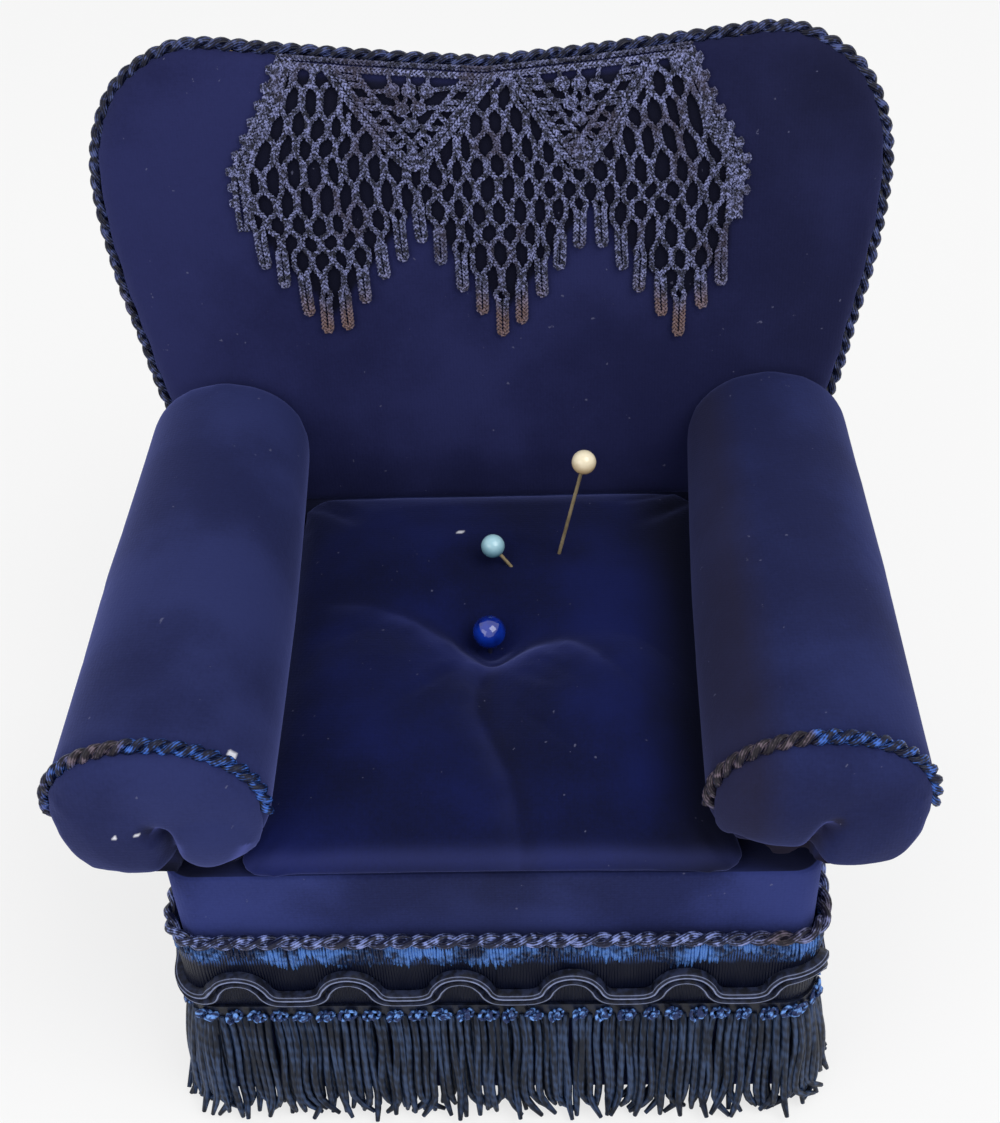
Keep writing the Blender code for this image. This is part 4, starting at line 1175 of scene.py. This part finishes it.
def makeCords():
    outline = backOutline()
    spec = cords["back"]
    line = []
    for index, point in enumerate(outline):
        along = (outline[min(index + 1, len(outline) - 1)] - outline[max(index - 1, 0)]).normalized()
        away = point + Vector((along.y, -along.x)) * spec["out"]
        line.append(backPoint(away.x, away.y, spec["depth"]))
    for end in (0, -1):
        line[end] += backUp * spec["endRise"]
    dress(layCord("backCord", line, backOut, spec), silk["back"], "cord", "back_edge_cord")

    spec = cords["base"]
    count = 400
    line = []
    for index in range(count):
        point, _ = roundBase(aroundLength() * index / count, spec["out"])
        line.append(Vector((point.x, point.y, spec["height"])))
    dress(layCord("baseCord", line, Vector((0, 0, 1)), spec, True), silk["base"], "cord", "base_edge_cord")

    spec = cords["arm"]
    for side, name in ((-1, "left"), (1, "right")):
        line = []
        for step in range(60):
            begin, end = spec["turns"]
            angle = math.radians(begin + (end - begin) * step / 59)
            x, z = armEdge(angle, spec["lift"])
            line.append(Vector((side * armShape["frontX"] + x, spec["plane"], armMiddle + z)))
        obj = layCord(name + "ArmCord", line, Vector((0, 1, 0)), spec)
        inner = side * armShape["frontX"] + 1 * mm
        markPoints(obj, ["worn"], lambda point: [0.4 * clamp((inner - point.x) / (6 * mm))])
        dress(obj, silk["arm"], "cord", name + "_arm_cord")


makeCords()
print("cords are twisted and laid")


# Trims round the base, modelled flat and then wrapped round it

band = {"low": 27.6 * mm, "high": 42.2 * mm, "wall": 0.9 * mm, "pucker": 0.25 * mm, "rows": 8}
tape = {"low": 23.8 * mm, "high": 27.4 * mm, "wall": 1.3 * mm, "pucker": 0.0, "rows": 3}
bandCells = 520
bandOut = 0.3 * mm
bandThreads = {
    "count": 900,
    "radius": 0.25 * mm,
    "top": 42.4 * mm,
    "bottom": (36.6 * mm, 40.6 * mm),
    "out": 1.45 * mm,
    # share of the length, and how proud the thread stands there, in 0.4 mm
    "bow": [(0.0, -0.5), (0.3, 0.15), (0.7, 0.3), (1.0, 0.0)],
}
gimp = {
    "waves": 22,
    "width": 3.0 * mm,
    "middle": 32.7 * mm,
    "out": 2.3 * mm,
    "ridge": 0.85 * mm,
    # one wave of the braid's middle line: share of the wave, height in mm
    "line": [
        (0.00, -2.35), (0.17, -2.5), (0.32, -2.3), (0.42, -1.3), (0.47, 0.5),
        (0.55, 2.1), (0.67, 2.7), (0.79, 2.1), (0.87, 0.5), (0.92, -1.3),
    ],
}
knots = {
    "count": 104,
    "height": 25.5 * mm,
    "out": 2.1 * mm,
    "ring": 0.72 * mm,
    "yarn": 0.33 * mm,
    # each loop's place along the tape in mm, and its turn
    "loops": [(-0.65, (1.4, 0.2, 0.9)), (0.0, (1.1, -0.3, -0.8)), (0.6, (1.5, 0.3, 0.6))],
}
strands = {
    # each row: how many for each knot, and how far from the velvet they start, in mm
    "rows": [(2, 0.8), (3, 1.5)],
    # one more row, which hangs only from the rounded corners
    "corner": (7, 1.2),
    "radius": 0.6 * mm,
    "top": 24.9 * mm,
    "points": 12,
}


def makeBand(name, spec):
    # an upright strip the length of the base's outline, puckered between its edges, laid round it
    clearSelection()
    length = aroundLength()
    height = spec["high"] - spec["low"]
    bpy.ops.mesh.primitive_grid_add(x_subdivisions=bandCells, y_subdivisions=spec["rows"], size=1.0)
    obj = bpy.context.object
    obj.name = obj.data.name = name
    obj.scale = (length, height, 1)
    obj.rotation_euler = (math.pi / 2, 0, 0)
    obj.location = (length / 2, -bandOut, spec["low"] + height / 2)
    pick(obj)
    bpy.ops.object.transform_apply(location=True, rotation=True, scale=True)
    for vert in obj.data.vertices:
        if spec["low"] < vert.co.z < spec["high"]:
            vert.co.y -= spec["pucker"] * (1 + roughHeight(vert.co, 3 * mm, 2))
    wrapRound(obj)
    pick(obj)
    startEdit()
    bpy.ops.mesh.remove_doubles(threshold=0.02 * mm)
    setMode("OBJECT")
    addModifier(obj, "SOLIDIFY", thickness=spec["wall"], offset=1.0)
    applyModifiers(obj)
    smoothShade(obj, 50)
    return obj


def makeBandThreads():
    draws = random.Random(5)
    data = newCurve("bandThreads", bandThreads["radius"], 4)
    for index in range(bandThreads["count"]):
        place = aroundLength() * (index + 0.5 + draws.uniform(-0.25, 0.25)) / bandThreads["count"]
        ragged = 0.5 + 0.8 * roughHeight(Vector((place, 0, 0)), 3.5 * mm, 3) + draws.uniform(-0.2, 0.2)
        low = bandThreads["bottom"][0] + (bandThreads["bottom"][1] - bandThreads["bottom"][0]) * ragged
        slant = draws.uniform(-0.25, 0.25) * mm
        line = []
        for share, proud in bandThreads["bow"]:
            z = bandThreads["top"] + (low - bandThreads["top"]) * share
            point, _ = roundBase(place + slant * share, bandThreads["out"] + proud * 0.4 * mm)
            line.append(Vector((point.x, point.y, z)))
        addSpline(data, line, False, [0.8, 1.0, 1.0, 0.5])
    return curveToMesh(data, "bandThreads")


def gimpLine():
    # the braid's middle line round the base, as flat points: distance along and height
    wave = aroundLength() / gimp["waves"]
    control = []
    for index in range(-1, 3):
        control += [Vector(((share + index) * wave, height * mm)) for share, height in gimp["line"]]
    smooth = smoothLine(control, 8)
    one = [point for point in smooth if 0 <= point.x < wave - 1e-7]
    line = []
    for index in range(gimp["waves"]):
        line += [point + Vector((index * wave, 0)) for point in one]
    return line


def makeGimp():
    # profile across the braid: share of its width, and how far each point stands out
    profile = [
        (-0.5, -0.9), (-0.46, 0.0), (-0.32, 0.8), (-0.17, 0.9), (-0.06, 0.0),
        (0.05, 0.0), (0.15, 0.9), (0.28, 0.8), (0.37, 0.1), (0.4, -0.9),
    ]
    line = gimpLine()
    length = aroundLength()
    verts = []
    along = []
    for index, point in enumerate(line):
        after = line[(index + 1) % len(line)]
        before = line[index - 1]
        run = after - before
        run.x = (run.x + length / 2) % length - length / 2
        across = Vector((-run.y, run.x)).normalized() * gimp["width"]
        for share, proud in profile:
            place, _ = roundBase(point.x + across.x * share, gimp["out"] + proud * gimp["ridge"])
            verts.append((place.x, place.y, gimp["middle"] + point.y + across.y * share))
            along.append(share)
    count = len(profile)
    faces = []
    for index in range(len(line)):
        after = (index + 1) % len(line)
        for side in range(count):
            right = (side + 1) % count
            corners = ((index, side), (after, side), (after, right), (index, right))
            faces.append([place * count + point for place, point in corners])
    mesh = bpy.data.meshes.new("gimpBraid")
    mesh.from_pydata(verts, [], faces)
    across = mesh.attributes.new("across", "FLOAT", "POINT")
    across.data.foreach_set("value", along)
    obj = bpy.data.objects.new("gimpBraid", mesh)
    scene.collection.objects.link(obj)
    pick(obj)
    startEdit()
    bpy.ops.mesh.normals_make_consistent(inside=False)
    setMode("OBJECT")
    smoothShade(obj, 60)
    return obj


def makeGimpSilk():
    # dark ribbed braid: a pale thread on each of its two ridges, and a thin one beside the lower
    material, shader, start = newMaterial("gimpSilk", Roughness=0.5, Specular_IOR_Level=0.18)
    place = start.coords()
    across = start.attribute("across")
    speckle = grain(place, 900.0, 2.0)
    line = sum(
        (1 - between(across.calc("ABSOLUTE", across - middle), wide * 0.4, wide)) * strong
        for middle, strong, wide in ((-0.24, 0.9, 0.05), (0.2, 0.9, 0.05), (0.325, 0.6, 0.014))
    )
    line = line * (speckle + 0.45)
    ground = between(speckle, 0.35, 0.7).mix(color(12, 15, 28), color(36, 43, 68))
    feed(shader, Base_Color=line.mix(ground, color(132, 142, 178)), Normal=bump(speckle, 0.8, 0.1 * mm))
    return material


def makeKnots():
    # three small loops of yarn through each other, copied round the base
    draws = random.Random(8)
    made = []
    for shift, turn in knots["loops"]:
        clearSelection()
        bpy.ops.mesh.primitive_torus_add(
            major_segments=8,
            minor_segments=4,
            major_radius=knots["ring"],
            minor_radius=knots["yarn"],
            rotation=turn,
            location=(shift * mm, 0, 0),
        )
        made.append(keepAs("knotRing"))
    knot = joinAll(made, "knot")
    copies = []
    for index in range(knots["count"]):
        copy = knot.copy()
        copy.data = knot.data.copy()
        scene.collection.objects.link(copy)
        tilt = Matrix.Rotation(draws.uniform(-0.6, 0.6), 4, "Y")
        turn = tilt @ Matrix.Rotation(draws.uniform(-0.4, 0.4), 4, "Z")
        grow = Matrix.Diagonal((draws.uniform(0.95, 1.2), 0.9, draws.uniform(0.9, 1.25), 1))
        copy.data.transform(grow @ turn)
        place = aroundLength() * (index + 0.5) / knots["count"] + draws.uniform(-0.2, 0.2) * mm
        height = knots["height"] + draws.uniform(-0.2, 0.2) * mm
        copy.data.transform(Matrix.Translation((place, -knots["out"], height)))
        copies.append(copy)
    bpy.data.objects.remove(knot)
    obj = joinAll(copies, "fringeKnots")
    wrapRound(obj)
    smoothShade(obj)
    return obj


def makeStrands():
    # cut lengths of bullion cord: they hang from the tape, bow outwards and curl at the floor
    draws = random.Random(21)
    data = newCurve("fringeStrands", strands["radius"], 6)
    pitch = aroundLength() / knots["count"]
    for row, (count, depth) in enumerate([*strands["rows"], strands["corner"]]):
        for index in range(knots["count"] * count):
            place = pitch * (index + 0.5 + 0.25 * row) / count + draws.uniform(-0.2, 0.2) * mm
            _, facing = roundBase(place)
            if row == 2 and max(abs(facing.x), abs(facing.y)) > 0.999:
                continue
            drift = roughHeight(Vector((place, 0, row * mm)), 13 * mm, 4)
            lean = (1.6 * drift + draws.uniform(-0.45, 0.45)) * mm
            sway = (0.7 * drift + draws.uniform(-0.3, 0.3)) * mm
            bow = draws.uniform(1.7, 2.7) * mm * (0.8 + 0.2 * row)
            curl = draws.choice((-1, 1)) * draws.uniform(0.1, 1.0) ** 3 * 3.4 * mm
            kick = draws.uniform(-0.5, 2.4) * mm
            end = draws.uniform(0.7, 2.4) * mm
            line = []
            for step in range(strands["points"]):
                share = step / (strands["points"] - 1)
                tip = max(0.0, (share - 0.76) / 0.24)
                out = depth * mm + bow * math.sin(share * math.pi * 0.62) + kick * tip**2
                shift = lean * share**1.3 + sway * math.sin(share * math.pi * 2.2) + curl * tip**2
                z = strands["top"] + (end - strands["top"]) * min(1.0, share * 1.05 - 0.05 * tip)
                point, _ = roundBase(place + shift, out)
                line.append(Vector((point.x, point.y, max(z, 0.7 * mm))))
            radii = [0.9] + [1.0] * (strands["points"] - 3) + [0.95, 0.6]
            addSpline(data, line, False, radii)
    return curveToMesh(data, "fringeStrands")


dress(makeBand("satinBand", band), makeSatin(), "satin", "fringe_header_band")
bandSilk = makeThreadSilk("bandSilk", color(10, 18, 46), color(84, 130, 204), 1.5, 0.96, 1.3)
dress(makeBandThreads(), bandSilk, "satin")
dress(makeGimp(), makeGimpSilk(), "gimp", "gimp_braid")
tapeSilk = makeThreadSilk("tapeSilk", color(8, 10, 20), color(24, 30, 50))
dress(makeBand("fringeTape", tape), tapeSilk, "fringe_yarn")
dark = (color(22, 28, 48), color(60, 72, 104))
knotSilk = makeCordSilk("knotSilk", color(30, 44, 88), color(116, 166, 244), dark, 0.0, 1, 5, 0.12)
dress(makeKnots(), knotSilk, "fringe_yarn")
dress(makeStrands(), makeStrandSilk(), "fringe_yarn", "fringe_skirt")
print("trims go round the base")


# Lace

lace = {
    "topInset": -1.0 * mm,
    "topHalf": 32.7 * mm,
    "half": 41.2 * mm,
    "shoulderDrop": 17.0 * mm,
    "tip": 32.2 * mm,
    "valley": 50.3 * mm,
    "pointPitch": 29.0 * mm,
    "pointShift": 2.2 * mm,
    "spacing": 1.65 * mm,
    "sway": 0.6 * mm,
    "meshHigh": 7.4 * mm,
    "tailLength": 6.6 * mm,
    "tailHalf": 0.58 * mm,
    # each closed fan: left top, tip, tip's height, right top, in mm
    "fans": [(-25.2, -11.9, 62.0, 1.8), (3.6, 14.9, 61.6, 27.2)],
    "flat": (82.4 * mm, 47.5 * mm),
}
stitch = {
    "step": 0.33 * mm,
    "period": 2.1 * mm,
    "ply": 0.182 * mm,
    "wide": 0.35 * mm,
    "thick": 0.22 * mm,
    "lift": 0.62 * mm,
}


def laceTop(x):
    return topOfBack(x) - lace["topInset"]


def laceSide(height):
    drop = (laceTop(lace["topHalf"]) - height) / lace["shoulderDrop"]
    return lace["topHalf"] + (lace["half"] - lace["topHalf"]) * clamp(drop) ** 1.3


def laceBottom(x):
    place = (x - lace["pointShift"]) / lace["pointPitch"]
    nearest = max(-1, min(1, round(place)))
    return lace["tip"] + (lace["valley"] - lace["tip"]) * min(abs(place - nearest) * 2, 1.0)


def fanCurve(fan, inset):
    # a fan's edge, round at its tip, moved inwards by that much
    left, tip, low, right = (value * mm for value in fan)
    outer = []
    for step in range(33):
        t = step / 16 - 1
        x = tip + (right - tip if t > 0 else tip - left) * t
        rise = (math.sqrt(t * t + 0.02) - 0.141) / (math.sqrt(1.02) - 0.141)
        outer.append(Vector((x, low + (laceTop(x) - 1.0 * mm - low) * rise)))
    line = []
    for index, point in enumerate(outer):
        run = (outer[min(index + 1, 32)] - outer[max(index - 1, 0)]).normalized()
        moved = point + Vector((-run.y, run.x)) * inset
        if moved.y < laceTop(moved.x) - 0.8 * mm:
            line.append(moved)
    return line


def inFan(x, height):
    for fan in lace["fans"]:
        for a, b in zip(fanEdges[fan], fanEdges[fan][1:]):
            if a.x <= x < b.x and height > a.y + (b.y - a.y) * (x - a.x) / (b.x - a.x):
                return True
    return False


def onPad(x, height, lift):
    # the point at that lift over the velvet of the back
    found, place, normal, _ = frontPad.ray_cast(backPoint(x, height, 12 * mm), -backOut)
    if not found:
        return backPoint(x, height, lift - 2.5 * mm)
    return place + backOut * lift


def braid(data, line, size=1.0, lift=0.0):
    # three plies plaited along a flat line: they read as chain stitches
    points, length = evenly(line, stitch["step"])
    count = len(points)
    for ply in range(3):
        made = []
        for index, point in enumerate(points):
            run = points[min(index + 1, count - 1)] - points[max(index - 1, 0)]
            side = Vector((run.y, -run.x)).normalized()
            phase = 2 * math.pi * (length * index / (count - 1) / stitch["period"] + ply / 3)
            flat = point + side * math.sin(phase) * stitch["wide"] * size
            high = stitch["lift"] + lift + math.sin(2 * phase) * stitch["thick"] * size
            made.append(onPad(flat.x, flat.y, high))
        ends = [0.6] + [1.0] * (count - 2) + [0.6]
        addSpline(data, made, False, [radius * size for radius in ends])


def makeLace():
    # a net of upright wavy strands that touch by turns to the left and to the right
    draws = random.Random(3)
    data = newCurve("laceCover", stitch["ply"], 4)
    tails = newCurve("laceTails", stitch["ply"], 4)
    for index in range(-25, 25):
        middle = (index + 0.5) * lace["spacing"] + draws.uniform(-0.2, 0.2) * mm
        tail = (2 * (index // 2) + 1.0) * lace["spacing"]
        swing = draws.uniform(0.75, 1.35) * lace["sway"] * (1 if index % 2 else -1)
        late = draws.uniform(-0.4, 0.4)
        height = back["height"]
        low = laceBottom(tail) + lace["tailLength"]
        line = []
        while height > low - 1.2 * mm:
            height -= 0.45 * mm
            phase = 2 * math.pi * height / lace["meshHigh"] + late
            phase += 2.3 * roughHeight(Vector((middle, height, 0)), 9 * mm, 6)
            wave = math.sin(phase) / math.sqrt(math.sin(phase) ** 2 + 0.16)
            spread = 0.5 + 0.5 * laceSide(height) / lace["half"]
            x = middle * spread + swing * wave
            join = clamp((low + 1.5 * mm - height) / (2.7 * mm))
            x += (tail + math.copysign(0.35 * mm, middle - tail) - x) * join
            x += 0.18 * mm * roughHeight(Vector((x, height, 0)), 1.7 * mm, 9)
            within = abs(x) < laceSide(height) - 0.5 * mm and height < laceTop(x) - 0.8 * mm
            if within and not inFan(x, height):
                line.append(Vector((x, height)))
        if len(line) > 6:
            braid(data, line, 0.98)
        if index % 2:
            makeTail(tails, tail, draws)
    makeEdges(data, draws)
    for fan in lace["fans"]:
        makeFan(data, fan, draws)
    return curveToMesh(data, "laceCover"), curveToMesh(tails, "laceTails")


def makeTail(data, x, draws):
    # a chain that goes down, round and up again
    if abs(x) > lace["half"]:
        return
    low = laceBottom(x) + draws.uniform(-0.7, 0.5) * mm
    high = laceBottom(x) + lace["tailLength"]
    lean = draws.uniform(-0.45, 0.45) * mm
    half = lace["tailHalf"]
    loop = [Vector((x - half, high)), Vector((x - half + lean * 0.4, (high + low) / 2))]
    for step in range(7):
        turn = math.pi + math.pi * step / 6
        loop.append(Vector((x + lean + half * math.cos(turn), low + 0.9 * mm + half * math.sin(turn))))
    loop += [Vector((x + half + lean * 0.4, (high + low) / 2)), Vector((x + half, high))]
    braid(data, loop, 1.08)


def makeEdges(data, draws):
    # two rows of chain along the top, and a knotty chain down each side
    steps = 24
    for drop in (0.2 * mm, 1.2 * mm):
        line = []
        for step in range(steps + 1):
            x = -lace["topHalf"] + 2 * lace["topHalf"] * step / steps
            line.append(Vector((x, laceTop(x) - drop)))
        braid(data, line, 1.0)
    for side in (-1, 1):
        for inset in (0.3 * mm, 1.4 * mm, 2.4 * mm):
            line = []
            for step in range(12):
                height = laceTop(lace["topHalf"]) - 0.6 * mm - 27 * mm * step / 11
                reach = laceSide(height) - inset + draws.uniform(-0.2, 0.2) * mm
                line.append(Vector((side * reach, height)))
            braid(data, line, 1.05)
        for step in range(9):
            height = laceTop(lace["topHalf"]) - 2 * mm - 2.6 * mm * step
            x = side * (laceSide(height) + 0.35 * mm)
            ring = []
            for turn in (0, 1.3, 2.6, 3.9, 5.2, 6.4):
                ring.append(Vector((x + math.cos(turn) * 0.5 * mm, height + math.sin(turn) * 0.6 * mm)))
            braid(data, ring, 0.8)


def makeFan(data, fan, draws):
    # three rows of chain along the edge, posts before the last of them, and knots on thin bars
    for inset, size in ((0.0, 1.15), (1.15 * mm, 1.15), (3.5 * mm, 1.05)):
        braid(data, fanCurve(fan, inset), size)
    outer = fanCurve(fan, 1.6 * mm)
    inner = fanCurve(fan, 3.1 * mm)
    for step in range(20):
        share = (step + 0.5) / 20
        ends = [line[round(share * (len(line) - 1))] for line in (outer, inner)]
        braid(data, ends, 0.95)
    tip = fan[1] * mm
    rim = fanCurve(fan, 3.5 * mm)
    places = []
    for row, count in enumerate((3, 2, 1)):
        height = laceTop(tip) - (3.8 + 2.6 * row) * mm
        for index in range(count):
            x = tip + (index - (count - 1) / 2) * 2.7 * mm
            places.append(Vector((x, height + draws.uniform(-0.3, 0.3) * mm)))
        halves = (rim[: len(rim) // 2], rim[len(rim) // 2 :])
        ends = [min(half, key=lambda point: abs(point.y - height)) for half in halves]
        braid(data, [ends[0], places[-count]], 0.75)
        braid(data, [places[-1], ends[1]], 0.75)
    for place in places:
        for turn in range(2):
            begin = draws.uniform(0, 6.28)
            size = (0.95 - 0.5 * turn) * mm
            ring = []
            for angle in (0, 1.1, 2.2, 3.3, 4.4, 5.5, 6.4):
                spoke = Vector((math.cos(begin + angle), math.sin(begin + angle) * 0.85))
                ring.append(place + spoke * size)
            braid(data, ring, 1.0, 0.3 * mm * turn)
    for top, foot in ((0, 3), (1, 3), (1, 4), (2, 4), (3, 5), (4, 5)):
        braid(data, [places[top], places[foot]], 0.75)
    for index in range(3):
        top = Vector((places[index].x + (index - 1) * 0.6 * mm, laceTop(places[index].x) - 0.8 * mm))
        braid(data, [top, places[index]], 0.75)


fanEdges = {fan: fanCurve(fan, -0.3 * mm) for fan in lace["fans"]}


def yarnTone(point):
    # how brown the yarn has gone, most at the tails under each point, and how far it stands off the velvet,
    # which sets its painted shade
    height = (point - back["foot"]).dot(backUp)
    place = (point.x - lace["pointShift"]) / lace["pointPitch"]
    nearPoint = bell((place - round(place)) * lace["pointPitch"], 5 * mm)
    low = clamp(1 - (height - laceBottom(point.x) - 1 * mm) / (8 * mm))
    found, under, _, _ = frontPad.ray_cast(point + backOut * 9 * mm, -backOut)
    lift = (point - under).dot(backOut) if found else stitch["lift"]
    return low * (0.35 + 0.65 * nearPoint), clamp((lift - 0.42 * mm) / (0.5 * mm))


def laceArea():
    # of the flat cut inside its outline, holes included, in thin upright slices
    slices = 400
    total = 0.0
    for index in range(slices):
        x = lace["half"] * (2 * (index + 0.5) / slices - 1)
        reach = max(0.0, abs(x) - lace["topHalf"]) / (lace["half"] - lace["topHalf"])
        top = laceTop(min(abs(x), lace["topHalf"])) - lace["shoulderDrop"] * reach ** (1 / 1.3)
        total += (top - laceBottom(x)) * 2 * lace["half"] / slices
    return total


def backTone(point):
    # painted shadow of the lace on the velvet under it; darker towards the back's right side and its top,
    # partly painted shade and partly nap that lies another way
    x = point.x
    height = (point - back["foot"]).dot(backUp)
    above = height - laceBottom(x) - 4 * mm
    inside = laceSide(height) - abs(x) - 1 * mm
    below = laceTop(x) - 1.5 * mm - height
    under = clamp(min(above, inside, below) / (1.6 * mm))
    right = clamp((x - 8 * mm) / (45 * mm))
    top = clamp((height - 55 * mm) / (15 * mm))
    return max(0.9 * under, right * (0.34 * min(height / (30 * mm), 1.0) + 0.2 * top)), 0.0, 0.0


markTone(frontPad, backTone)
laceCover, laceTails = makeLace()
laceYarn = makeYarn()
for piece in (laceCover, laceTails):
    markPoints(piece, ("fade", "raised"), yarnTone)
dress(laceCover, laceYarn, "lace_yarn", "lace_antimacassar")
dress(laceTails, laceYarn, "lace_yarn")
laceArea()
print("lace is worked:", len(laceCover.data.polygons), "faces")


# Bead and pins


def roundHead(name, node, segments):
    low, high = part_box(node)
    clearSelection()
    bpy.ops.mesh.primitive_uv_sphere_add(
        segments=segments, ring_count=segments // 2, radius=(high - low).x / 2, location=(low + high) / 2
    )
    obj = keepAs(name)
    smoothShade(obj)
    return obj


pinRadius = 0.29 * mm


def makeShaft(name, node, headNode):
    # a steel wire from under the head, drawn to a point
    low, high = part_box(headNode)
    middle = (low + high) / 2
    tip = min((vert.co for vert in nodes[node].data.vertices), key=lambda co: co.z).copy()
    run = middle - tip
    clearSelection()
    bpy.ops.mesh.primitive_cylinder_add(
        vertices=20, radius=pinRadius, depth=run.length, end_fill_type="TRIFAN"
    )
    obj = bpy.context.object
    for vert in obj.data.vertices:
        if vert.co.z < 0:
            vert.co.x *= 0.15
            vert.co.y *= 0.15
    startEdit()
    bpy.ops.mesh.bisect(plane_co=(0, 0, 3 * mm - run.length / 2), plane_no=(0, 0, 1))
    setMode("OBJECT")
    for vert in obj.data.vertices:
        if vert.co.z > 2.9 * mm - run.length / 2:
            flat = math.hypot(vert.co.x, vert.co.y)
            if flat > 0.01 * mm:
                vert.co.x *= pinRadius / flat
                vert.co.y *= pinRadius / flat
    obj.rotation_euler = run.to_track_quat("Z", "Y").to_euler()
    obj.location = (middle + tip) / 2
    keepAs(name)
    smoothShade(obj, 40)
    return obj


dress(roundHead("tuftBead", "tuft_bead", 40), makeGlass(), "bead_glass", "tuft_bead")
# each pearl's own tone, then the darker tone of the painted shade on its underside
pearls = {
    "cream": (color(244, 232, 202), color(196, 160, 104)),
    "blue": (color(170, 214, 228), color(84, 140, 160)),
}
steel = makePlain("pinSteel", color(132, 116, 84), color(200, 182, 144), 300.0, 0.3, 0.005 * mm, 0.3)
for word, tones in pearls.items():
    head = f"pin_{word}_head"
    shaft = f"pin_{word}_shaft"
    dress(roundHead(word + "PinHead", head, 32), makePearl(word + "Pearl", *tones), "pearl_" + word, head)
    dress(makeShaft(word + "PinShaft", shaft, head), steel, "pin_steel", shaft)
print("bead and pins are in")


# What the velvet hides, and the underside

card = (color(120, 98, 70), color(160, 136, 102), 500.0, 0.9, 0.08 * mm)
plain = {
    "underside_felt": ("baseFelt", color(16, 18, 34), color(36, 40, 66), 700.0, 0.95, 0.3 * mm),
    "base_box": ("boxCard", *card),
    "back_board": ("backCard", *card),
    "tuft_thread": ("tuftThread", color(14, 16, 34), color(40, 44, 80), 1600.0, 0.6, 0.05 * mm),
    "tuft_anchor": ("anchorButton", color(168, 150, 120), color(206, 190, 160), 300.0, 0.5, 0.02 * mm),
}
for node, finish in plain.items():
    nodes[node].data.materials.clear()
    nodes[node].data.materials.append(makePlain(*finish))
print("hidden pieces have their finish")
